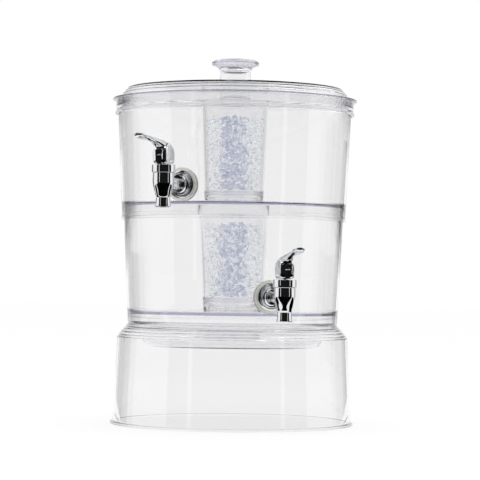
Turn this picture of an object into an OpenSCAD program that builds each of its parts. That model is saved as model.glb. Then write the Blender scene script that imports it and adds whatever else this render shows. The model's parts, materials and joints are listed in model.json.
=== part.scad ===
// Stackable beverage dispenser: two clear tanks on a clear stand, each with a
// lever tap and a column of ice in its own core, under a knobbed lid.
// Millimetres, +Z up, front at -Y, origin at the middle of the stand's foot.

/* [Stand] */
// Height of the stand at the top edge of its shoulder
stand_h = 126; // [112:1:150]
// Thickness of the stand's wall
stand_wall = 3; // [2.4:0.1:3.6]
// Outward lean of the stand's wall, in degrees
stand_lean = 2.53; // [1:0.01:5]
// Reach of the foot's lip beyond the wall
foot_reach = 3; // [2:0.1:5]
// Height of the foot's lip
foot_h = 3.2; // [2.4:0.1:6]
// Width of the ridged shoulder
shoulder_w = 11.6; // [9:0.1:16]
// Height of the ridged shoulder
shoulder_h = 14.5; // [11:0.1:18]
// Number of ridges on the shoulder
shoulder_ridges = 4; // [2:1:6]
// Depth of the groove that the lower tank stands in
seat_depth = 2.1; // [1.5:0.1:4]
// Height of the plug inside the lower tank's skirt, above the groove's floor
plug_h = 7.8; // [5:0.1:10]
// Inside radius of the well
well_r = 112; // [90:1:118]
// Depth of the well below the plug's top
well_depth = 29; // [16:1:40]
// Radius of the well's rounded corner, inside
well_corner = 9; // [4:0.5:12]

/* [Tanks] */
// Outside radius of the lower tank at its bottom edge
tank_r = 134.8; // [128:0.2:145]
// Height of a tank from its bottom edge to its rim
tank_h = 154; // [140:1:180]
// Outward lean of the tank walls, in degrees
tank_lean = 2.63; // [1.5:0.01:4]
// Thickness of a tank's wall
tank_wall = 3; // [2.6:0.1:3.6]
// Thickness of a tank's floor
floor_t = 3; // [2.4:0.1:4]
// Radius of the rounded corner between floor and wall
floor_corner = 3; // [1:0.5:3.5]
// Height of the skirt below a tank's floor
skirt_h = 17.1; // [14:0.1:22]
// Thickness of that skirt
skirt_t = 2.4; // [2:0.1:2.6]
// Height of the bead around the foot of a skirt
bead_h = 3.4; // [2.4:0.1:5]
// Reach of that bead
bead_reach = 0.8; // [0.4:0.1:1.5]
// Clearance between a skirt and what it goes over
skirt_gap = 0.4; // [0.3:0.05:0.8]

/* [Lid] */
// Thickness of the lid
lid_t = 2.6; // [2:0.1:3.2]
// Height of the plain band above the flange
lid_band_h = 2.6; // [1.5:0.1:5]
// Width of the lid's ridged bevel
bevel_w = 9; // [6:0.1:14]
// Height of the lid's ridged bevel
bevel_h = 11.1; // [8:0.1:16]
// Number of ridges on the bevel
bevel_ridges = 3; // [2:1:5]
// Rise of the lid's crown from its edge to its middle
crown_h = 2; // [1:0.1:5]
// Thickness of the flange
flange_t = 2; // [1.6:0.1:3]
// Reach of the flange beyond the lid's skirt
flange_reach = 4.1; // [2:0.1:7]
// Length of the lid's skirt below the flange
lid_skirt_h = 18.3; // [14:0.1:24]
// Thickness of the lid's skirt
lid_skirt_t = 1.8; // [1.6:0.1:2.6]
// Length of the lid's plug below the flange
lid_plug_h = 9.8; // [6:0.1:13]
// Clearance between the lid's plug and the tank's mouth
lid_plug_gap = 0.6; // [0.4:0.05:1]

/* [Knob] */
// Height of the knob
knob_h = 37.8; // [30:0.1:48]
// Radius of the knob's head
knob_r = 30.6; // [26:0.1:36]
// Height of the knob's head
knob_head_h = 14.6; // [11:0.1:18]
// Radius of the knob's neck
knob_neck_r = 20.3; // [16:0.1:23]
// Thickness of the knob's wall
knob_wall = 2.8; // [2:0.1:4]
// Height of the boss that centres the knob on the lid
knob_boss_h = 3; // [2:0.1:5]

/* [Ice cores] */
// Outside radius of a core at its foot
core_foot_r = 37.6; // [35:0.1:40]
// Outside radius of the lower core under its collar
lower_core_r = 44; // [40:0.1:46]
// Outside radius of the upper core under its collar
upper_core_r = 43; // [40:0.1:46]
// Step out from the lower core to its collar
lower_collar_step = 1.8; // [0.6:0.1:5]
// Step out from the upper core to its collar
upper_collar_step = 0.8; // [0.6:0.1:5]
// Height of the collar
collar_h = 17.4; // [10:0.1:24]
// Thickness of a core's wall
core_wall = 2.4; // [2:0.1:2.8]
// Height of the hollow foot under a core's bottom
core_foot_h = 13.5; // [11:0.1:18]
// Gap over the lower core, under the floor above
core_head_gap = 1.4; // [0.8:0.1:4]
// How much taller the upper core is, up inside the lid
upper_core_extra = 6.1; // [0:0.1:11]
// Height of the twist-lock boss on a tank's floor
boss_h = 8.7; // [8:0.1:10]
// Thickness of the boss's wall
boss_t = 2.4; // [2:0.1:3]
// Reach of each twist-lock tab
tab_reach = 2; // [1.6:0.1:2.4]
// Width of each twist-lock tab around the boss, in degrees
tab_angle = 30; // [20:1:40]
// Running clearance of the twist-lock
lock_gap = 0.6; // [0.4:0.05:0.8]
// Gap under a core's foot
foot_gap = 0.3; // [0.2:0.05:0.5]

/* [Ice] */
// Height of the ice in the lower core, above the core's bottom
lower_ice_h = 91; // [60:1:110]
// Height of the ice in the upper core, above the core's bottom
upper_ice_h = 92; // [60:1:116]
// Height of the lumps of ice
ice_lump = 1.2; // [0.5:0.1:2.5]

/* [Taps] */
// Direction of the lower tap, in degrees to the right of the front
lower_tap_angle = 19.4; // [-60:0.1:60]
// Direction of the upper tap, in degrees to the right of the front
upper_tap_angle = -25.6; // [-60:0.1:60]
// Swivel of the lower lever on its stem, in degrees
lower_lever_swivel = -5; // [-15:0.1:15]
// Swivel of the upper lever on its stem, in degrees
upper_lever_swivel = 0; // [-15:0.1:15]
// Droop of the upper lever at rest, in degrees
upper_lever_droop = 3.5; // [0:0.1:4]
// Height of a tap's shank above the tank's floor
tap_rise = 20.5; // [18.5:0.1:26]
// Distance from the tank's wall to the tap's barrel axis
tap_reach = 51.5; // [46:0.1:60]
// Radius of the threaded shank
shank_r = 8; // [7:0.1:8.4]
// Length of the shank inside the tank's wall
shank_l = 20; // [18:0.5:26]
// Radius of the drink's way through the shank
inlet_r = 5; // [4:0.1:5.4]
// Clearance of the shank in the tank's wall
shank_gap = 0.4; // [0.2:0.05:0.6]
// Radius of the chromed flange
flange_r = 17.25; // [16.5:0.05:19]
// Radius of the outer gasket
gasket_r = 20.7; // [19.5:0.1:23]
// Thickness of the outer gasket
gasket_t = 3; // [2:0.1:4]
// Radius of the inner gasket
washer_r = 16.3; // [15:0.1:16.4]
// Thickness of the inner gasket
washer_t = 2.5; // [2:0.1:3.5]
// Size of the shank's nut across its flats
nut_af = 25; // [22:0.5:27]
// Thickness of the shank's nut
nut_t = 7; // [5:0.5:9]
// Radius of the neck between flange and barrel
neck_r = 7.2; // [6.6:0.1:8]
// Radius of the barrel under its bonnet
barrel_r = 13; // [12.8:0.1:13.6]
// Height of the barrel's top above the shank's axis
barrel_top = 11.9; // [10:0.1:14]
// Distance from the shank's axis down to the spout's mouth
spout_drop = 29.6; // [26:0.1:36]
// Outside radius of the spout
spout_r = 8.7; // [8.4:0.1:9]
// Radius of the spout's mouth
mouth_r = 9.8; // [9.2:0.1:11]
// Radius of the valve chamber
chamber_r = 10.2; // [9.8:0.1:10.4]
// Radius of the bonnet
bonnet_r = 14.3; // [14:0.1:16]
// Height of the bonnet
bonnet_h = 9.9; // [8:0.1:12]
// Thickness of the bonnet's top
bonnet_t = 2.6; // [2:0.1:3]
// Radius of the valve's stem
stem_r = 2.8; // [2.2:0.1:3.2]
// Running clearance of pins and stems
run_gap = 0.05; // [0.02:0.01:0.1]
// Radius of the lever's pin
pin_r = 1.5; // [1.2:0.1:1.8]
// Height of the pin above the bonnet
pin_rise = 10.2; // [9:0.1:12]
// Lift of the stem for each radian that the lever turns
cam_lift = 8; // [6:0.1:8.4]
// Travel of the lever, in degrees
lever_travel = 30; // [20:1:32]
// Width of the lever's hood across its flat cheeks
hood_w = 20.4; // [17:0.1:22]
// Width of the stem's head between the cheeks
head_w = 5.6; // [4.6:0.1:6.4]
// Width of the lever's neck
lever_neck_w = 9.4; // [8:0.1:12]
// Width of the lever's paddle
paddle_w = 16; // [13:0.1:20]
// Length of the lever from the stem's axis to its tip
lever_l = 68; // [62:0.5:84]

/* [Hidden] */
$fn = 128;
LOWER = 0;
UPPER = 1;
cut = 1;

// Bow of the ridged slopes, and the depth of the cove between two ridges
slope_bow = 0.3;
cove_depth = 0.8;
edge = 0.6;
neck_in = 0.4;

// Heights where the pieces stand on each other
seat_z = stand_h - seat_depth;
tank_z = [seat_z, seat_z + tank_h - skirt_h];
floor_z = [for (z = tank_z) z + skirt_h + floor_t];
rim_z = [for (z = tank_z) z + tank_h];

// Wall radii
tank_slope = tan(tank_lean);
tank_foot_r = [tank_r, tank_r + tank_slope * (tank_h - skirt_h) + skirt_gap + skirt_t];
function tank_out_r(i, z) = tank_foot_r[i] + tank_slope * (z - tank_z[i]);
function tank_in_r(i, z) = tank_out_r(i, z) - tank_wall;

groove_r = tank_r + bead_reach + skirt_gap;
plug_r = tank_r - skirt_t - skirt_gap;
plug_z = seat_z + plug_h;
shoulder_r = groove_r + edge + shoulder_w;
shoulder_z = stand_h - shoulder_h;
stand_slope = tan(stand_lean);
function stand_r(z) = shoulder_r + stand_slope * (shoulder_z - z);

lid_flange_z = rim_z[UPPER];
lid_skirt_in_r = tank_out_r(UPPER, rim_z[UPPER]) + skirt_gap;
lid_skirt_r = lid_skirt_in_r + lid_skirt_t;
lid_flange_r = lid_skirt_r + flange_reach;
dome_r = tank_in_r(UPPER, rim_z[UPPER]) - lid_plug_gap;
band_z = lid_flange_z + flange_t + lid_band_h;
crown_z = band_z + bevel_h;
crown_r = dome_r - bevel_w;
knob_pad_r = knob_neck_r + 4;
knob_z = crown_z + crown_h;

// Ice cores
core_top_z = [rim_z[LOWER] - core_head_gap,
              floor_z[UPPER] + tank_h - skirt_h - floor_t - core_head_gap + upper_core_extra];
core_r = [lower_core_r, upper_core_r];
collar_step = [lower_collar_step, upper_collar_step];
core_foot_in_r = core_foot_r - core_wall;
boss_r = core_foot_in_r - lock_gap - tab_reach;
tab_t = (boss_h - foot_gap - 2 * lock_gap) / 2;
ice_h = [lower_ice_h, upper_ice_h];
ice_gap = 0.5;
core_round = 4;
neck_shift = 1;

// Taps
tap_angle = [lower_tap_angle, upper_tap_angle];
tap_z = [for (z = floor_z) z + tap_rise];
swivel = [lower_lever_swivel, upper_lever_swivel];
droop = [0, upper_lever_droop];
bonnet_z = barrel_top + bonnet_h;
pin_z = bonnet_z + pin_rise;
thread_pitch = 2.4;
thread_depth = 0.5;
seat_top = -6;
throat_r = 6.6;
spigot_h = bonnet_h - bonnet_t - 0.3;
spigot_r = chamber_r + 1.4;
cup_gap = 0.4;
seat_gap = 0.42;
cup_rim_z = 2;
spring_seat_z = -1.5;
spring_seat_t = 1.5;
spring_r = 5.6;
wire_r = 0.6;
spring_turns = 6;
heel_gap = 0.8;
slot_gap = 0.3;

// Points of a circular arc
function arc(c, r, a0, a1, n) =
    [for (i = [0:n]) c + r * [cos(a0 + (a1 - a0) * i / n), sin(a0 + (a1 - a0) * i / n)]];

// Point of a cubic curve through its two end points
function bezier(p, t) =
    pow(1 - t, 3) * p[0] + 3 * t * pow(1 - t, 2) * p[1]
    + 3 * t * t * (1 - t) * p[2] + pow(t, 3) * p[3];
function curve(p, n) = [for (i = [0:n]) bezier(p, i / n)];

// Arris k of a ridged slope that leans in by w over the height h
function arris(r, z, w, h, n, k) =
    [r - w * ((1 - slope_bow) * k / n + slope_bow * pow(k / n, 2)), z + h * k / n];

// Ridged slope, from its foot up: an arris, then a cove to the next one
function ridges(r, z, w, h, n) =
    [for (k = [0:n - 1], u = [0:0.25:0.75])
        let (a = arris(r, z, w, h, n, k), b = arris(r, z, w, h, n, k + 1),
             d = (b - a) / norm(b - a))
        a + (b - a) * u + cove_depth * sin(180 * u) * [-d[1], d[0]]];

// Outside of a skirt's foot from its bottom edge up: the bead, then a slight neck
function bead(r, z) =
    [[r + bead_reach - edge, z], [r + bead_reach, z + edge],
     [r + bead_reach, z + bead_h - edge], [r + bead_reach - edge, z + bead_h],
     [r - neck_in, z + bead_h + 0.2], [r, z + bead_h + 2.4]];

module turned(points) {
    rotate_extrude() polygon(points);
}

// Puts a piece at a tap: +X runs out of the wall, the shank's axis is at z = 0
module at_tap(i) {
    translate([0, 0, tap_z[i]])
    rotate([0, 0, tap_angle[i] - 90])
    translate([tank_out_r(i, tap_z[i]), 0, 0])
    children();
}

module at_barrel() {
    translate([tap_reach, 0, 0]) children();
}

module at_lever(i) {
    at_barrel() rotate([0, 0, swivel[i]]) translate([0, 0, pin_z]) rotate([0, droop[i], 0])
    children();
}

// Body of revolution about the shank's axis
module along_shank(points) {
    rotate([0, 90, 0]) turned(points);
}

// Cone with a tank's lean, from below the tap to above it
module tank_cone(i, extra) {
    low = tap_z[i] - gasket_r - cut;
    high = tap_z[i] + gasket_r + cut;
    translate([0, 0, low])
    cylinder(h = high - low, r1 = tank_out_r(i, low) + extra, r2 = tank_out_r(i, high) + extra,
        $fn = 256);
}

module clear_plastic() {
    color([0.90, 0.91, 0.95, 0.35]) children();
}

module chrome() {
    color([0.80, 0.81, 0.83]) children();
}

module silicone() {
    color([0.90, 0.90, 0.85]) children();
}

// Stand: a bowl-shaped stand, foot down, with a round well in its top
module stand() {
    lip_r = stand_r(foot_h) + foot_reach;
    mouth = 3;
    well_z = plug_z - well_depth;
    t = stand_wall;
    outside = concat(
        [[lip_r - edge, 0], [lip_r, edge], [lip_r, foot_h - edge], [lip_r - edge, foot_h],
         [stand_r(foot_h) + edge, foot_h], [stand_r(foot_h + 1.4), foot_h + 1.4]],
        ridges(shoulder_r, shoulder_z, shoulder_w, shoulder_h, shoulder_ridges),
        [[groove_r + edge, stand_h], [groove_r, stand_h - edge]]);
    top = concat(
        [[groove_r, seat_z], [plug_r, seat_z], [plug_r, plug_z - 1], [plug_r - 1, plug_z]],
        arc([well_r + mouth, plug_z - mouth], mouth, 90, 180, 4),
        arc([well_r - well_corner, well_z + well_corner], well_corner, 0, -90, 6),
        [[0, well_z]]);
    below = concat(
        [[0, well_z - t]],
        arc([well_r - well_corner, well_z + well_corner], well_corner + t, -90, 0, 6),
        [[well_r + t, plug_z - t - 1], [well_r + t + 1, plug_z - t],
         [plug_r - t, plug_z - t], [plug_r - t, seat_z - t],
         [groove_r + 0.8, seat_z - t], [shoulder_r - t, shoulder_z - 1],
         [stand_r(0) - t, 0]]);
    clear_plastic() turned(concat(outside, top, below));
}

// Tank: leaning wall, floor, skirt below it, twist-lock boss and a hole for the tap
module tank(i) {
    z0 = tank_z[i];
    under_z = z0 + skirt_h;
    top = rim_z[i];
    c = floor_corner;
    function out_r(z) = tank_out_r(i, z);
    outside = concat(
        bead(out_r(z0), z0),
        [[out_r(top - edge), top - edge], [out_r(top) - edge, top]]);
    inside = concat(
        [[out_r(top) - tank_wall + edge, top], [out_r(top) - tank_wall, top - edge]],
        arc([tank_in_r(i, floor_z[i] + c) - c, floor_z[i] + c], c, 0, -90, 4),
        [[0, floor_z[i]], [0, under_z]],
        [[out_r(under_z) - skirt_t, under_z], [out_r(z0) - skirt_t, z0]]);
    clear_plastic()
    difference() {
        union() {
            turned(concat(outside, inside));
            translate([0, 0, floor_z[i]]) lock_boss();
        }
        at_tap(i)
            rotate([0, 90, 0])
            cylinder(h = 4 * tank_wall, r = shank_r + shank_gap, center = true);
    }
}

// Ring of the twist-lock on a tank's floor, with three tabs that hold the core down
module lock_boss() {
    turned([[boss_r - boss_t, -cut / 2], [boss_r, -cut / 2], [boss_r, boss_h - edge],
            [boss_r - edge, boss_h], [boss_r - boss_t, boss_h]]);
    for (k = [0:2])
        rotate([0, 0, 120 * k - tab_angle / 2])
        rotate_extrude(angle = tab_angle)
        translate([boss_r - 1, boss_h - edge - tab_t])
        square([1 + tab_reach, tab_t]);
}

// Lid: ridged dome, flange, skirt outside the tank's rim and plug inside it
module lid() {
    f = lid_flange_z;
    skirt_z = f - lid_skirt_h;
    flange_top = f + flange_t;
    n = 5;
    outside = concat(
        bead(lid_skirt_r, skirt_z),
        [[lid_skirt_r, f], [lid_flange_r - edge, f], [lid_flange_r, f + edge],
         [lid_flange_r, flange_top - edge], [lid_flange_r - edge, flange_top],
         [dome_r + edge, flange_top], [dome_r, flange_top + edge]],
        ridges(dome_r, band_z, bevel_w, bevel_h, bevel_ridges),
        [for (k = [0:n - 1]) let (r = crown_r + (knob_pad_r - crown_r) * k / n)
            [r, crown_z + crown_h * sin(90 * k / n)]],
        [[knob_pad_r, knob_z], [0, knob_z]]);
    inside = concat(
        [[0, knob_z - lid_t], [knob_pad_r, knob_z - lid_t], [crown_r - 1.2, crown_z - lid_t],
         [dome_r - lid_t, band_z - 1.1], [dome_r - lid_t, f - lid_plug_h],
         [dome_r - edge, f - lid_plug_h], [dome_r, f - lid_plug_h + edge], [dome_r, f],
         [lid_skirt_in_r, f], [lid_skirt_in_r, skirt_z]]);
    clear_plastic() {
        turned(concat(outside, inside));
        translate([0, 0, knob_z - cut / 2])
            cylinder(h = knob_boss_h + cut / 2, r = knob_neck_r - knob_wall - lock_gap / 2);
    }
}

// Knob: a hollow neck that flares into a domed head, bonded over the lid's boss
module lid_knob() {
    head_z = knob_h - knob_head_h;
    rim = 2.6;
    in_r = knob_neck_r - knob_wall;
    crown = 6;
    points = concat(
        [[in_r, 0], [knob_neck_r + edge, 0], [knob_neck_r, edge]],
        curve([[knob_neck_r, head_z - 3], [knob_neck_r + 0.6, head_z + 3],
               [knob_r - 5, head_z + 4.6], [knob_r - 0.6, knob_h - crown - rim]], 8),
        arc([knob_r - rim, knob_h - crown], rim, -30, 50, 4),
        curve([[knob_r - rim, knob_h - crown + 3], [knob_r - 7, knob_h - 1],
               [knob_r - 13, knob_h], [0, knob_h]], 6),
        curve([[0, knob_h - crown], [in_r * 0.7, knob_h - crown],
               [in_r, knob_h - crown - 4], [in_r, knob_h - crown - 12]], 6));
    clear_plastic() translate([0, 0, knob_z]) turned(points);
}

// Ice core: a tapered tube on a hollow foot, closed below the ice, open under the lid
module ice_core(i) {
    z0 = floor_z[i] + foot_gap;
    bottom_z = floor_z[i] + core_foot_h;
    top = core_top_z[i];
    neck_z = top - collar_h;
    w = core_wall;
    r1 = core_foot_r;
    r2 = core_r[i];
    r3 = r2 + collar_step[i];
    in_z = bottom_z + w;
    points = concat(
        [[r1 - w, z0], [r1 - edge, z0], [r1, z0 + edge], [r2, neck_z - collar_step[i]],
         [r3, neck_z], [r3, top - edge], [r3 - edge, top], [r3 - w, top],
         [r3 - w, neck_z + neck_shift], [r2 - w, neck_z - collar_step[i] + neck_shift]],
        arc([r1 - w - core_round, in_z + core_round], core_round, 0, -90, 4),
        [[0, in_z], [0, bottom_z], [r1 - w, bottom_z]]);
    clear_plastic() {
        turned(points);
        for (k = [0:2])
            rotate([0, 0, 120 * k - tab_angle / 2])
            rotate_extrude(angle = tab_angle)
            translate([r1 - w - tab_reach, z0])
            square([tab_reach + w / 2, tab_t]);
    }
}

// Radius of the core's inside at height z
function core_in_r(i, z) =
    let (low = floor_z[i] + core_foot_h + core_wall + core_round,
         high = core_top_z[i] - collar_h - collar_step[i] + neck_shift,
         t = max(0, min(1, (z - low) / (high - low))))
    core_foot_r - core_wall + (core_r[i] - core_foot_r) * t;

// Radius of the lumpy column of ice at height z and angle a
function ice_r(i, z, a) = core_in_r(i, z) - ice_gap
    - ice_lump * (1 + 0.5 * sin(3 * a + 11 * z) + 0.5 * sin(7 * a - 17 * z));

// Ice: one closed lumpy column of crushed ice with an uneven top
module ice(i) {
    seg = 30;
    rings = 16;
    z0 = floor_z[i] + core_foot_h + core_wall + ice_gap;
    h = ice_h[i];
    function ring_z(j, a) = z0 + h * j / (rings - 1)
        + (j == rings - 1 ? 2 * ice_lump * sin(2 * a + 40) : 0);
    function ring_r(j, a) = (j == 0 ? 0.85 : j == rings - 1 ? 0.88 : 1)
        * ice_r(i, z0 + h * j / (rings - 1), a);
    points = concat(
        [for (j = [0:rings - 1], s = [0:seg - 1]) let (a = 360 * s / seg)
            [ring_r(j, a) * cos(a), ring_r(j, a) * sin(a), ring_z(j, a)]],
        [[0, 0, z0], [0, 0, z0 + h + 2 * ice_lump]]);
    low = rings * seg;
    faces = concat(
        [for (j = [0:rings - 2], s = [0:seg - 1])
            let (a = j * seg + s, b = j * seg + (s + 1) % seg) [a, b + seg, b]],
        [for (j = [0:rings - 2], s = [0:seg - 1])
            let (a = j * seg + s, b = j * seg + (s + 1) % seg) [a, a + seg, b + seg]],
        [for (s = [0:seg - 1]) [low, s, (s + 1) % seg]],
        [for (s = [0:seg - 1]) [low + 1, (rings - 1) * seg + (s + 1) % seg, (rings - 1) * seg + s]]);
    color([0.86, 0.90, 0.97, 0.6]) polyhedron(points, faces);
}

// Tap body: threaded shank, stepped flange with a bell, neck, and barrel with its spout
module tap_body() {
    g = gasket_t;
    ridge_count = floor((shank_l - 4) / thread_pitch);
    thread = [for (k = [0:ridge_count - 1], s = [0:1])
        let (x = -tank_wall - shank_l + 2 + k * thread_pitch)
        s == 0 ? [shank_r - thread_depth, x] : [shank_r, x + thread_pitch / 2]];
    flange = concat(
        [[0, -tank_wall - shank_l], [shank_r - 1, -tank_wall - shank_l]],
        thread,
        [[shank_r, 0], [shank_r, g],
         [flange_r - edge, g], [flange_r, g + edge], [flange_r, g + 2.2],
         [flange_r - 0.9, g + 3.1], [flange_r - 2.4, g + 3.1], [flange_r - 2.9, g + 2.2],
         [flange_r - 3.5, g + 2.2], [flange_r - 3.7, g + 4.4], [flange_r - 4.4, g + 5],
         [flange_r - 5.6, g + 5], [flange_r - 6, g + 4]],
        curve([[flange_r - 6.4, g + 4], [neck_r + 1.2, g + 4.6],
               [neck_r, g + 8], [neck_r, g + 15]], 6),
        [[neck_r, tap_reach - barrel_r / 2], [0, tap_reach - barrel_r / 2]]);
    barrel = concat(
        [[0, barrel_top + spigot_h], [spigot_r, barrel_top + spigot_h], [spigot_r, barrel_top],
         [barrel_r - 0.3, barrel_top], [barrel_r, barrel_top - 0.4]],
        curve([[barrel_r + 0.2, 2.6], [barrel_r + 0.1, -4.6],
               [spout_r + 1.4, -11.4], [spout_r + 0.4, seat_top - 11.2]], 8),
        [[spout_r, seat_top - 11.6],
         [spout_r + 0.2, -spout_drop + 5.6], [mouth_r - 0.3, -spout_drop + 0.4],
         [mouth_r - 0.5, -spout_drop], [0, -spout_drop]]);
    throat = [[0, barrel_top + spigot_h + cut], [chamber_r, barrel_top + spigot_h + cut],
              [chamber_r, seat_top], [throat_r, seat_top - chamber_r + throat_r],
              [spout_r - 1.5, -spout_drop + 4], [mouth_r - 1.3, -spout_drop],
              [mouth_r - 1.3, -spout_drop - cut], [0, -spout_drop - cut]];
    chrome()
    difference() {
        union() {
            along_shank(flange);
            at_barrel() turned(barrel);
        }
        at_barrel() turned(throat);
        translate([-tank_wall - shank_l - cut, 0, 0])
            rotate([0, 90, 0])
            cylinder(h = tank_wall + shank_l + cut + tap_reach - chamber_r / 2, r = inlet_r);
    }
}

// Bonnet: the ring-shaped cap that closes the valve chamber and guides the stem
module bonnet() {
    top = bonnet_z;
    under = barrel_top + spigot_h + 0.3;
    hole_r = stem_r + run_gap;
    chrome() at_barrel()
    turned([[bonnet_r - 0.5, barrel_top], [bonnet_r, barrel_top + 0.5], [bonnet_r, top - 0.8],
            [bonnet_r - 0.8, top], [hole_r, top], [hole_r, under],
            [spigot_r + 0.3, under], [spigot_r + 0.3, barrel_top]]);
}

// Outer gasket: flat against the flange, moulded to the tank's wall behind
module outer_gasket(i) {
    silicone()
    difference() {
        at_tap(i) translate([-3, 0, 0]) rotate([0, 90, 0])
            difference() {
                cylinder(h = gasket_t + 3, r = gasket_r);
                translate([0, 0, -cut]) cylinder(h = gasket_t + 3 + 2 * cut, r = shank_r + 0.2);
            }
        tank_cone(i, run_gap);
    }
}

// Inner gasket: moulded to the inside of the wall, flat against the nut
module inner_gasket(i) {
    silicone()
    intersection() {
        at_tap(i) translate([-tank_wall - washer_t, 0, 0]) rotate([0, 90, 0])
            difference() {
                cylinder(h = washer_t + 3, r = washer_r);
                translate([0, 0, -cut]) cylinder(h = washer_t + 3 + 2 * cut, r = shank_r + 0.2);
            }
        tank_cone(i, -tank_wall - run_gap);
    }
}

module shank_nut() {
    flat_r = nut_af / 2 / cos(30);
    chrome()
    translate([-tank_wall - washer_t - nut_t, 0, 0]) rotate([0, 90, 0])
    difference() {
        cylinder(h = nut_t, r = flat_r, $fn = 6);
        translate([0, 0, -cut]) cylinder(h = nut_t + 2 * cut, r = shank_r + run_gap);
    }
}

// Valve stem: spring seat, rod through the bonnet and a flat head for the lever's pin
module valve_stem(i) {
    head_l = 7.2;
    spring_seat_r = chamber_r - 2.4;
    chrome() at_barrel() rotate([0, 0, swivel[i]])
    difference() {
        union() {
            turned([[0, seat_top], [stem_r, seat_top], [stem_r, spring_seat_z - spring_seat_t],
                    [spring_seat_r, spring_seat_z - spring_seat_t],
                    [spring_seat_r, spring_seat_z], [stem_r, spring_seat_z],
                    [stem_r, bonnet_z + 2], [0, bonnet_z + 2]]);
            translate([-head_l / 2, -head_w / 2, bonnet_z + 0.6])
                cube([head_l, head_w, pin_z - bonnet_z - 0.6]);
            intersection() {
                translate([0, 0, pin_z]) rotate([90, 0, 0])
                    cylinder(h = head_w, r = head_l / 2, center = true);
                translate([-head_l, -head_w / 2, pin_z - 1]) cube([2 * head_l, head_w, 12]);
            }
        }
        translate([0, 0, pin_z]) rotate([90, 0, 0])
            cylinder(h = 2 * head_w, r = pin_r + run_gap, center = true);
    }
}

// Seat cup: the soft plug that closes the throat, with a lip against the chamber
module seat_cup() {
    r = chamber_r - cup_gap;
    foot_z = seat_top - 3.2;
    foot_r = chamber_r - (seat_top - foot_z) - seat_gap;
    lip = 1.2;
    color([0.93, 0.93, 0.90]) at_barrel()
    turned([[0, foot_z], [foot_r, foot_z], [r, foot_z + r - foot_r], [r, cup_rim_z],
            [r - lip, cup_rim_z], [r - lip, spring_seat_z - spring_seat_t],
            [stem_r, spring_seat_z - spring_seat_t], [stem_r, seat_top], [0, seat_top]]);
}

// Spring: one wound wire between the stem's seat and the bonnet
module valve_spring() {
    sides = 8;
    per_turn = 12;
    top = barrel_top + spigot_h + 0.3;
    low = spring_seat_z + wire_r + 0.1;
    rise = top - wire_r - 0.1 - low;
    rings = spring_turns * per_turn;
    points = concat(
        [for (k = [0:rings], s = [0:sides - 1])
            let (a = 360 * k / per_turn, b = 360 * s / sides,
                 r = spring_r + wire_r * cos(b))
            [r * cos(a), r * sin(a), low + rise * k / rings + wire_r * sin(b)]]);
    last = rings * sides;
    faces = concat(
        [for (k = [0:rings - 1], s = [0:sides - 1])
            let (a = k * sides + s, b = k * sides + (s + 1) % sides) [a, b + sides, b]],
        [for (k = [0:rings - 1], s = [0:sides - 1])
            let (a = k * sides + s, b = k * sides + (s + 1) % sides) [a, a + sides, b + sides]],
        [for (s = [1:sides - 2]) [0, s, s + 1]],
        [for (s = [1:sides - 2]) [last, last + s + 1, last + s]]);
    color([0.75, 0.76, 0.78]) at_barrel() polyhedron(points, faces);
}

// Closed solid through rings of points, one ring for each station
module loft(rings) {
    n = len(rings[0]);
    last = (len(rings) - 1) * n;
    points = [for (ring = rings, p = ring) p];
    faces = concat(
        [for (k = [0:len(rings) - 2], s = [0:n - 1])
            let (a = k * n + s, b = k * n + (s + 1) % n) [a, b + n, b]],
        [for (k = [0:len(rings) - 2], s = [0:n - 1])
            let (a = k * n + s, b = k * n + (s + 1) % n) [a, a + n, b + n]],
        [for (s = [1:n - 2]) [0, s, s + 1]],
        [for (s = [1:n - 2]) [last, last + s + 1, last + s]]);
    polyhedron(points, faces);
}

// Section of the lever across its length: [x, half width, half width below, bottom, edge, crown]
function section(q) =
    let (w = q[1], v = q[2], low = q[3], e = q[4], h = q[5] - e, sag = v < w ? 0.6 : 0)
    [for (p = [[-w, e], [-v, low], [-v / 2, low - 0.75 * sag], [0, low - sag],
               [v / 2, low - 0.75 * sag], [v, low], [w, e],
               [0.85 * w, e + 0.48 * h], [0.52 * w, e + 0.84 * h], [0, e + h],
               [-0.52 * w, e + 0.84 * h], [-0.85 * w, e + 0.48 * h]])
        [q[0], p[0], p[1]]];

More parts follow.
